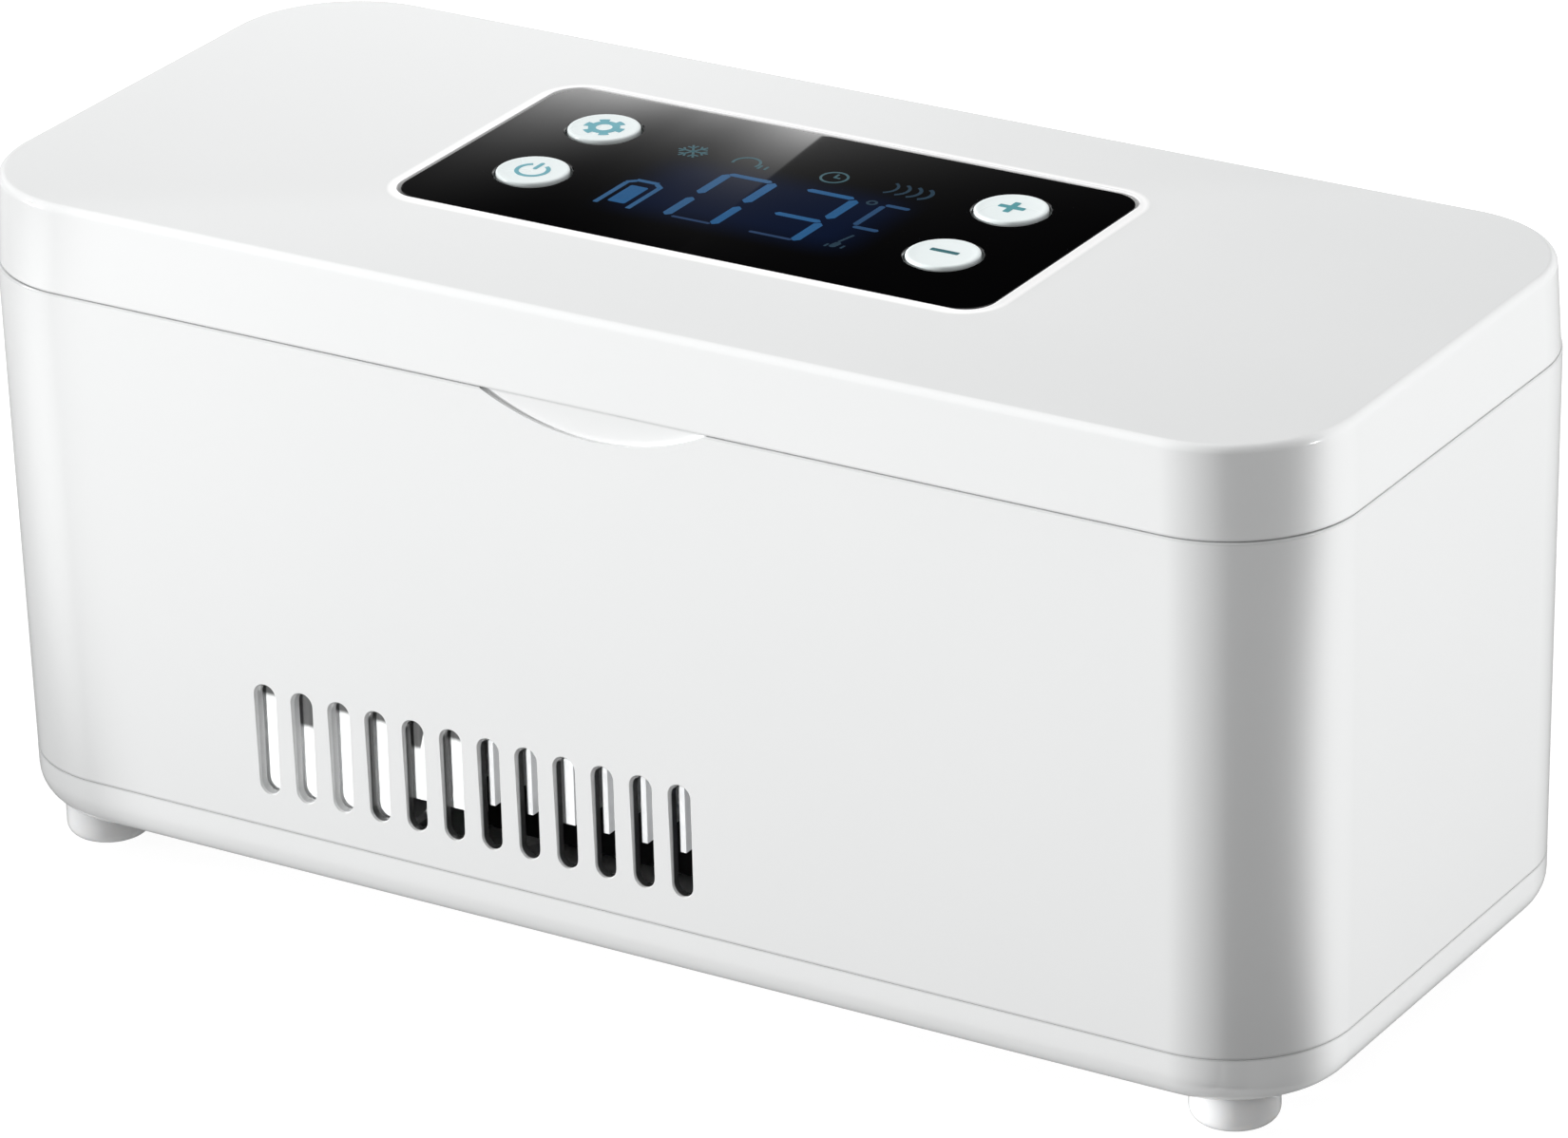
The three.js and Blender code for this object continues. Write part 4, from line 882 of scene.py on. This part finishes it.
tools = []
for x, y in corners:
    tools.append(rod(well_radius, tray_bottom - 1, tray_bottom + well_depth,
                     (x * screw_x, y * screw_y), "Z", 40))
    tools.append(rod(foot_radius + socket_gap, tray_bottom - 1, tray_bottom + socket_depth,
                     (x * foot_x, y * foot_y), "Z", 56))
for k in range(grille_count):
    y = (k - 3) * grille_pitch
    tools.append(block(2 * math.sqrt(grille_radius ** 2 - y ** 2), grille_width,
                       grille_width / 2 - 0.01,
                       [(-0.35, tray_bottom - 1), (-0.35, tray_bottom - 0.05),
                        (0, tray_bottom + 0.35), (0, tray_inside + 1)], (fan_x, y), steps=8))
boolean(tray, together(tools))
polish(tray)
finished(tray, "base_tray_smooth", "case", tray_white, "base_tray", slot="white_gloss")

# %% [markdown]
# ## Feet
# Four soft plastic feet sit in sockets of the tray. They are turned parts: a straight side, a rolled
# lower edge and a stem through the floor. A profile spun round its axis gives exactly that. The
# plastic is milky, so some light goes through it, which subsurface scattering shows.

# %% The feet
def milky(name, colour, roughness):
    material, tree, coords = new_material(name)
    return surfaced(material, tree, {
        "Base Color": speckled(tree, coords, tuple(c * 0.96 for c in colour), colour, 60),
        "Roughness": roughness, "IOR": 1.45, "Normal": grain(tree, coords, 700, 0.06),
        "Subsurface Weight": 0.7, "Subsurface Scale": 0.005, "Subsurface Radius": (1.0, 0.95, 0.9),
        "Coat Weight": 0.3, "Coat Roughness": 0.05})


foot_plastic = milky("milky_foot_plastic", (0.985, 0.99, 0.99), 0.12)
foot_edge, foot_top, stem_radius, stem_top = 1.7, 5.5, 2.5, 8.5
foot_profile = [(0.02, 0.35), (3.4, 0.35), (3.9, 0),
                *arc((foot_radius - foot_edge, foot_edge), foot_edge, -90, 0, 8),
                (foot_radius, foot_top), (stem_radius, foot_top), (stem_radius, stem_top),
                (0.02, stem_top)]
feet = {"front_left": (-1, -1), "front_right": (1, -1), "rear_left": (-1, 1), "rear_right": (1, 1)}
for name, (x, y) in feet.items():
    foot = merged(turned(foot_profile, (x * foot_x, y * foot_y), 64), 0.03)
    polish(foot, 40)
    finished(foot, f"foot_{name}_turned", "case", foot_plastic, f"foot_{name}",
             slot="foot_plastic")

# %% [markdown]
# ## The display window
# The window is black acrylic with a hard gloss, let in flush with the lid. Its edge has a small
# polished chamfer, which shows as a thin bright line. The lit display shines through it as a dim blue
# patch. That patch is part of the window's own finish, and the figures are thin inlays at its surface.

# %% Black glass with a dim blue patch
display_x, display_y = -1.3, 0.6

black_glass, tree, coords = new_material("black_window_glass")
centred = node(tree, "ShaderNodeMapping",
               {0: coords, 1: (-display_x * MM, -(display_y + case_shift) * MM, 0)}).outputs[0]
axes = node(tree, "ShaderNodeSeparateXYZ", {0: centred})
across, along = (calc(tree, "ABSOLUTE", axes.outputs[axis]) for axis in ("X", "Y"))
patch = times(tree, ramp(tree, across, 22 * MM, 13 * MM), ramp(tree, along, 13 * MM, 5 * MM))
surfaced(black_glass, tree, {
    "Base Color": speckled(tree, coords, (0.0006, 0.0006, 0.0008), (0.0014, 0.0014, 0.0017), 40),
    "Roughness": 0.01, "IOR": 1.49, "Normal": grain(tree, coords, 90, 0.004, 0.00001),
    "Coat Weight": 1.0, "Coat Roughness": 0.0, "Coat IOR": 1.6,
    "Emission Color": blend(tree, patch, (0, 0, 0), (0.0012, 0.006, 0.026)),
    "Emission Strength": 1.0})
print("window finish:", black_glass.name)

# %% The window
button_radius = 5
button_hole = button_radius + 0.3
button_places = {"settings": (-34.0, 14.3), "power": (-34.0, -3.5),
                 "plus": (29.6, 14.3), "minus": (29.6, -3.5)}

window = block(window_length, window_depth, window_corner,
               [(0, case_top - window_thickness), (0, case_top)], window_place, steps=16)
edges_rounded(window, (higher(case_top), 0.22, 3))
hole_profile = [(0.001, 95), (button_hole, 95), (button_hole, case_top - 0.2),
                (button_hole + 0.2, case_top + 0.02), (button_hole + 0.2, 99), (0.001, 99)]
boolean(window, together([turned(hole_profile, place, 64) for place in button_places.values()]))
polish(window)
finished(window, "display_window_polished", "lid", black_glass, "display_window",
         slot="window_black")

# %% [markdown]
# The figures are the usual seven segments with pointed ends. One bar is a flat rectangle whose corners
# are bevelled in edit mode and then pulled up a little. The strokes get several blues, because a lit
# display doesn't glow evenly: its lower and thinner strokes look fainter.

# %% Lit ink
def lit(name, colour):
    """Glowing ink under a gloss surface, a little uneven as a backlight is."""
    material, tree, coords = new_material(name)
    tone = speckled(tree, coords, tuple(c * 0.75 for c in colour), colour, 260)
    return surfaced(material, tree, {
        "Base Color": (0.004, 0.006, 0.01, 1), "Roughness": 0.05, "IOR": 1.49,
        "Emission Color": tone, "Emission Strength": 1.0})


bright_blue = lit("display_bright", (0.016, 0.1, 0.25))
pale_blue = lit("display_pale", (0.028, 0.105, 0.235))
unit_blue = lit("display_unit", (0.02, 0.066, 0.155))
dim_blue = lit("display_dim", (0.018, 0.045, 0.11))
soft_teal = lit("display_teal", (0.045, 0.11, 0.13))
grey_teal = lit("display_grey", (0.018, 0.042, 0.066))

# %% Flat inlays
ink_level, ink_thickness = case_top - 0.01, 0.03


def raised(piece, thick):
    """Give flat faces a thickness, upwards."""
    edit(piece)
    everything()
    pull(0, 0, thick)
    outwards()
    return done(piece)


def bar(length, width, place, angle=0, tip=0.42, height=ink_level, thick=ink_thickness,
        tip_steps=1):
    """A bar that lies flat, its ends cut or rounded by a share of its width. Angle is in degrees
    from X, and place in mm."""
    piece = done(plate(length, width, tip * width, tip_steps))
    piece.rotation_euler = (0, 0, math.radians(angle))
    piece.location = at(*place, height)
    bpy.ops.object.transform_apply(location=True, rotation=True, scale=True)
    return raised(piece, thick)


def flat_ring(radius, inner, place, height, steps):
    """A ring without thickness, left in edit mode. Inner is the hole's share of the radius."""
    start_fresh()
    centre = at(*place, height)
    bpy.ops.mesh.primitive_circle_add(vertices=steps, radius=radius * MM, location=centre,
                                      fill_type="NOTHING")
    piece = bpy.context.active_object
    bpy.ops.object.transform_apply(location=True, rotation=True, scale=True)
    edit(piece, "EDGE")
    everything()
    bpy.ops.mesh.extrude_region_move()
    scaled(inner, inner, 1, centre)
    return piece


def ring(radius, width, place, gap=None, height=ink_level, thick=ink_thickness, steps=48):
    """A ring that lies flat, open between two angles in degrees (0 is +X, anticlockwise)."""
    outer, inner = radius + width / 2, radius - width / 2
    piece = flat_ring(outer, inner / outer, place, height, steps)
    if gap:
        def in_gap(middle, normal):
            angle = math.degrees(math.atan2(middle.y - place[1] - case_shift,
                                            middle.x - place[0])) % 360
            return gap[0] < angle < gap[1]
        choose(piece, "faces", in_gap)
        bpy.ops.mesh.delete(type="FACE")
    return raised(piece, thick)


def inlay(name, material, pieces):
    return finished(together(pieces), name, "lid", material, slot="lcd")


# %% The two figures and the unit
stroke = 1.35
upper, lower_half = 4.15, -4.75

inlay("figure_left_strokes", pale_blue, [
    bar(7.6, stroke, (-10.3, upper), 90), bar(6.9, stroke, (-10.2, lower_half), 90),
    bar(6.6, 1.0, (-6.9, 8.1))])
inlay("figure_right_strokes", bright_blue, [
    bar(7.7, 1.5, (-3.1, upper), 90), bar(6.9, stroke, (-2.9, lower_half), 90),
    bar(7.4, 1.5, (9.6, upper), 90), bar(6.9, 1.4, (9.6, lower_half), 90),
    bar(7.2, 1.05, (5.5, 8.15)), bar(7.0, 1.05, (5.9, -0.95))])
inlay("figure_dim_strokes", dim_blue, [bar(6.0, 0.55, (-6.2, -8.25)), bar(6.6, 0.6, (6.0, -8.1))])
inlay("unit_letter", unit_blue, [
    bar(7.4, 0.85, (13.9, 4.0), 90, 0.3), bar(3.6, 0.8, (15.8, 8.2), 0, 0.3),
    bar(3.8, 0.85, (15.9, -0.3), 0, 0.3)])
inlay("unit_degree", grey_teal, [ring(0.62, 0.4, (11.9, 8.1), steps=20)])

# %% The battery
inlay("battery_outline", pale_blue, [
    bar(8.0, 0.75, (-20.9, -4.7), 90, 0.1), bar(8.2, 0.75, (-15.8, -4.6), 90, 0.1),
    bar(1.5, 0.75, (-20.5, -0.15), 40, 0.1), bar(1.5, 0.75, (-16.2, -0.15), -40, 0.1),
    bar(3.4, 0.8, (-18.4, 0.6), 0, 0.1)])
inlay("battery_fill", bright_blue, [bar(6.2, 2.7, (-18.4, -4.4), 90, 0.12, tip_steps=3)])

# %% The small signs
flake_x, flake_y, flake_twigs = -19.0, 13.0, 1.6


def twig(spoke, side):
    """One of the two small strokes near the end of a spoke of the flake."""
    angle = math.radians(60 * spoke + side * 14)
    return bar(0.9, 0.3, (flake_x + flake_twigs * math.cos(angle),
                          flake_y + flake_twigs * math.sin(angle)), 60 * spoke + side * 50, 0.2)


inlay("sign_flake", soft_teal,
      [bar(4.6, 0.34, (flake_x, flake_y), 60 * k, 0.2) for k in range(3)]
      + [twig(spoke, side) for spoke in range(6) for side in (-1, 1)])
inlay("sign_defrost", soft_teal, [
    ring(1.9, 0.4, (-10.4, 12.7), (200, 340), steps=32), bar(1.3, 0.4, (-8.0, 12.2), 90, 0.2),
    bar(1.2, 0.35, (-7.0, 12.2), 90, 0.2)])
inlay("sign_clock", soft_teal, [
    ring(1.85, 0.36, (2.8, 13.6), steps=36), bar(1.3, 0.34, (2.8, 14.2), 90, 0.2),
    bar(1.0, 0.34, (3.2, 13.6), 0, 0.2)])
inlay("sign_waves", grey_teal, [
    ring(2.1, 0.42 + 0.05 * k, (10.2 + 1.75 * k, 13.8), (60, 300), steps=36) for k in range(4)])
inlay("sign_plug", grey_teal, [
    bar(3.0, 0.4, (15.4, -4.4), 78, 0.2), bar(1.9, 1.0, (15.2, -6.9), 80, 0.3),
    bar(1.0, 0.35, (16.5, -7.2), 85, 0.2), bar(1.0, 0.35, (14.2, -7.5), 85, 0.2)])

# %% [markdown]
# ## Buttons
# Each button is a white cap in a round hole, with a rolled rim and a very slightly dished top so that
# a finger finds it. The sign on it is a thin pad of teal ink. The cap is turned, and the sign is cut
# from bars and rings. It rides on the button, so it goes down with it.

# %% Button caps
button_white = moulded("button_plastic", (0.88, 0.955, 0.955), (0.915, 0.975, 0.975), 0.28, 60,
                       1500, 0.05)
button_top, rim_radius = 97.8, 0.3
cap_profile = [(0.001, 93.8), (2.0, 93.8), (2.0, 94.8), (5.9, 94.8), (5.9, 95.7),
               (button_radius, 95.7),
               *arc((button_radius - rim_radius, button_top - rim_radius), rim_radius, 0, 90, 5),
               (4.3, button_top - 0.03), (3.7, button_top - 0.065), (0.001, button_top - 0.07)]
for name, place in button_places.items():
    cap = merged(turned(cap_profile, place, 64), 0.01)
    polish(cap, 30)
    finished(cap, f"button_{name}_cap", f"button_{name}", button_white, f"button_{name}",
             slot="button_white")

# %% [markdown]
# The gear starts as a flat ring. Every other stretch of its outer edge is pulled outwards, which makes
# six teeth. All signs lie a hair below the rim of their cap, and are 0.04 mm thick.

# %% Button signs
teal_ink, mid_teal_ink, dark_teal_ink = (
    moulded(name, low, high, 0.4, 500, 4000, 0.1) for name, low, high in (
        ("teal_ink", (0.13, 0.39, 0.46), (0.18, 0.46, 0.53)),
        ("mid_teal_ink", (0.05, 0.27, 0.31), (0.08, 0.33, 0.37)),
        ("dark_teal_ink", (0.012, 0.11, 0.13), (0.02, 0.15, 0.17))))
sign_level, sign_thickness = button_top - 0.08, 0.04
gear_radius, gear_hole, tooth_reach = 2.2, 0.52, 1.34


def sign(name, piece, ink):
    return finished(piece, f"sign_{name}", f"button_{name}", ink, slot="button_white")


def sign_bar(length, width, x, y, angle, tip=0.2, tip_steps=3):
    return bar(length, width, (x, y), angle, tip, sign_level, sign_thickness, tip_steps)


x, y = button_places["settings"]


def on_tooth(middle, direction):
    dx, dy = middle.x - x, middle.y - y - case_shift
    outside = math.hypot(dx, dy) > gear_radius - 0.1
    return outside and (math.degrees(math.atan2(dy, dx)) + 15) % 60 < 30


gear = done(flat_ring(gear_radius, gear_hole, (x, y), sign_level, 48))
edit(gear, "EDGE")
choose(gear, "edges", on_tooth)
bpy.ops.mesh.extrude_region_move()
scaled(tooth_reach, tooth_reach, 1, at(x, y, sign_level))
done(gear)
sign("settings", raised(gear, sign_thickness), teal_ink)
x, y = button_places["power"]
sign("power", together([
    ring(2.15, 0.62, (x, y - 0.1), (62, 118), sign_level, sign_thickness),
    sign_bar(2.5, 0.62, x, y + 1.5, 90, 0.5, 4)]), teal_ink)
x, y = button_places["plus"]
sign("plus", boolean(sign_bar(3.9, 0.95, x - 0.1, y + 0.3, 0),
                     sign_bar(3.7, 0.95, x - 0.1, y + 0.3, 90), "UNION"), mid_teal_ink)
x, y = button_places["minus"]
sign("minus", sign_bar(4.2, 0.85, x - 0.1, y + 0.55, 0), dark_teal_ink)

# %% [markdown]
# ## Finishes of the parts inside
# What stays as its CAD solid gets the finish of its real material: brushed and anodised aluminium for
# the heat sink and the tub, black glass-filled nylon for the fan, green solder mask for the boards.

# %% Metals
def metal(name, low, high, roughness, scale, stretch, metallic=1.0):
    """Metal with fine drawn lines: noise stretched along one axis drives tone, gloss and bump."""
    material, tree, coords = new_material(name)
    drawn = node(tree, "ShaderNodeMapping", {0: coords, 3: stretch}).outputs[0]
    lines = noise(tree, drawn, scale, 3.0)
    gloss = ramp(tree, lines, 0, 1, roughness * 0.75, roughness * 1.3, smooth=False)
    return surfaced(material, tree, {
        "Base Color": speckled(tree, drawn, low, high, scale), "Roughness": gloss,
        "Metallic": metallic, "Normal": grain(tree, drawn, scale, 0.12)})


aluminium = metal("drawn_aluminium", (0.62, 0.63, 0.645), (0.78, 0.79, 0.8), 0.3, 900,
                  (1, 0.04, 1))
clear_aluminium = metal("clear_anodised", (0.86, 0.875, 0.885), (0.92, 0.93, 0.94), 0.5, 900,
                        (1, 0.04, 1), 0.35)
tub_aluminium = metal("anodised_tub", (0.66, 0.67, 0.68), (0.76, 0.77, 0.78), 0.34, 1200,
                      (0.05, 1, 1))
steel = metal("bright_steel", (0.55, 0.56, 0.57), (0.7, 0.71, 0.72), 0.22, 1500, (1, 1, 0.2))
print("metals:", aluminium.name, clear_aluminium.name, tub_aluminium.name, steel.name)

# %% Plastics, rubber and ceramic
black_plastic = moulded("black_plastic", (0.007, 0.007, 0.008), (0.014, 0.014, 0.015), 0.42, 120,
                        2600, 0.3)
ceramic = moulded("module_ceramic", (0.83, 0.82, 0.78), (0.89, 0.88, 0.84), 0.55, 300, 5000, 0.2)
rubber = moulded("grey_rubber", (0.42, 0.43, 0.44), (0.5, 0.51, 0.52), 0.72, 200, 3000, 0.3)
lcd_glass = moulded("display_glass", (0.006, 0.012, 0.04), (0.01, 0.018, 0.055), 0.12, 80, 900,
                    0.02)
shade_start, shade_end, shade_share = 30.0, 30.9, 0.93
shade_sags = ((-50.4, 1.7, 3.4), (-32.6, 1.2, 2.6))


def painted_baffle_shade(tree, coords, tone):
    """Painted shade: the baffle is painted dark along its top, unevenly, where the shell and the liner
    would shade it. A sag is the X of its middle, its half width and how far the shade reaches down
    there."""
    axes = node(tree, "ShaderNodeSeparateXYZ", {0: coords})
    height = axes.outputs["Z"]
    for middle, half, deep in shade_sags:
        height = add(tree, height, between(tree, axes.outputs["X"], middle, half, 0.9, deep * MM))
    share = ramp(tree, height, shade_start * MM, shade_end * MM, 0.0, shade_share)
    return blend(tree, share, tone, (0.03, 0.03, 0.03)), 0.0


baffle_white = moulded("baffle_plastic", (0.8, 0.81, 0.81), (0.88, 0.89, 0.89), 0.35, 220, 1800,
                       0.3, painted_shading=painted_baffle_shade)
print("plastics:", black_plastic.name, rubber.name, lcd_glass.name, baffle_white.name)

# %% Foam, boards and shrink film
foam, tree, coords = new_material("grey_foam")
cells = node(tree, "ShaderNodeTexVoronoi", {"Vector": coords, "Scale": 900.0}).outputs["Distance"]
surfaced(foam, tree, {
    "Base Color": blend(tree, cells, (0.52, 0.53, 0.54), (0.74, 0.745, 0.75)), "Roughness": 0.9,
    "Normal": bumped(tree, cells, 0.6, 0.0004), "Sheen Weight": 0.2})

board, tree, coords = new_material("green_board")
tracks = node(tree, "ShaderNodeTexBrick", {
    "Vector": coords, "Scale": 260.0, "Mortar Size": 0.03, "Color1": (0.012, 0.16, 0.07, 1),
    "Color2": (0.018, 0.2, 0.09, 1), "Mortar": (0.05, 0.33, 0.16, 1)})
surfaced(board, tree, {
    "Base Color": tracks.outputs[0], "Roughness": 0.4, "Coat Weight": 0.4, "Coat Roughness": 0.2,
    "Normal": grain(tree, coords, 1200, 0.15)})

pack_film, tree, coords = new_material("blue_shrink_film")
pulled = node(tree, "ShaderNodeMapping", {0: coords, 3: (0.3, 1, 1)}).outputs[0]
surfaced(pack_film, tree, {
    "Base Color": speckled(tree, coords, (0.02, 0.08, 0.33), (0.03, 0.12, 0.42), 60),
    "Roughness": 0.25, "Coat Weight": 0.5, "Normal": grain(tree, pulled, 260, 0.3, 0.0003)})
print("others:", foam.name, board.name, pack_film.name)

# %% Which part gets which finish
finishes = {
    clear_aluminium: ["heat_sink"], aluminium: ["cold_block"], tub_aluminium: ["chamber_liner"],
    ceramic: ["thermoelectric_module"], baffle_white: ["air_baffle"], rubber: ["lid_gasket"],
    steel: ["base_screw_front_left", "base_screw_front_right", "base_screw_rear_left",
            "base_screw_rear_right", "heat_sink_screw_left", "heat_sink_screw_right",
            "hinge_pin_left", "hinge_pin_right", "lid_screw_left", "lid_screw_right",
            "body_magnet_left", "body_magnet_right", "lid_magnet_left", "lid_magnet_right"],
    black_plastic: ["fan_frame", "fan_rotor", "power_socket"],
    matt_white: ["chamber_bezel", "lid_panel"], foam: ["insulation", "lid_foam"],
    board: ["main_board", "display_board"], pack_film: ["battery_pack"],
    lcd_glass: ["lcd_module"],
}
for finish, names in finishes.items():
    for name in names:
        nodes[name].data.materials.clear()
        nodes[name].data.materials.append(finish)
print("finishes on", sum(len(names) for names in finishes.values()), "CAD nodes")

# %% [markdown]
# Behind the slots stand the bright ends of the heat sink's fins and the white baffle. Hardly any light
# gets in there from the room. A photographer would aim a narrow lamp at the slots. This one is linked
# to the two parts that it is meant for, so that it adds nothing to the front of the case.

# %% A narrow lamp for the parts behind the slots
def linked(light, name, pieces, shaded_by_them=True):
    """Let a lamp light these pieces only, and let only these throw its shadows if asked."""
    group = bpy.data.collections.new(name)
    for piece in pieces:
        group.objects.link(piece)
    light.light_linking.receiver_collection = group
    if shaded_by_them:
        light.light_linking.blocker_collection = group
    print(light.name, "lights", [piece.name for piece in pieces])


linked(sun("slot_beam", 21, 20, 4.5, 2), "behind_the_slots",
       [nodes["heat_sink"], nodes["air_baffle"]], shaded_by_them=False)

# %% [markdown]
# A white table throws light up against the rounded underside of the tray. The floor here is kept
# darker than that, so that the rest of the light stays plain. A low lamp, linked to the tray and the
# feet only, stands for the light off the table, and a weaker one fills the feet.

# %% Light off the table
feet_made = [bpy.data.objects[f"foot_{name}_turned"] for name in feet]
linked(sun("table_bounce", -20, -72, 1.35, 60), "under_the_case",
       [bpy.data.objects["base_tray_smooth"], *feet_made])
linked(sun("feet_fill", -50, -8, 0.9, 20), "the_feet", feet_made)

# %% [markdown]
# ## Softened edges of the parts inside
# Nothing moulded or cast has a perfectly sharp edge. The parts that show when the lid is open are
# copies of their CAD solids: flat faces are merged by a limited dissolve, and the sharp edges get a
# small bevel, which catches the light as it does on a real part.

# %% Bevelled copies of CAD solids
def softened(name, width, body, material):
    source = nodes[name]
    mesh = source.data.copy()
    mesh.transform(source.matrix_world)
    piece = bpy.data.objects.new(name + "_softened", mesh)
    scene.collection.objects.link(piece)
    edit(piece, "EDGE")
    everything()
    bpy.ops.mesh.remove_doubles(threshold=0.000001)
    bpy.ops.mesh.dissolve_limited(angle_limit=math.radians(0.6))
    bpy.ops.mesh.select_all(action="DESELECT")
    bpy.ops.mesh.edges_select_sharp(sharpness=math.radians(50))
    bevelled("EDGES", width, 3, clamp=True)
    outwards()
    done(piece)
    polish(piece)
    return finished(piece, name + "_softened", body, material, name)


softened("chamber_bezel", 0.4, "case", matt_white)
softened("chamber_liner", 0.15, "case", tub_aluminium)
softened("lid_panel", 0.35, "lid", matt_white)
softened("lid_gasket", 0.45, "lid", rubber)
softened("power_socket", 0.15, "case", black_plastic)
softened("fan_frame", 0.25, "case", black_plastic)
softened("fan_rotor", 0.1, "fan_rotor", black_plastic)
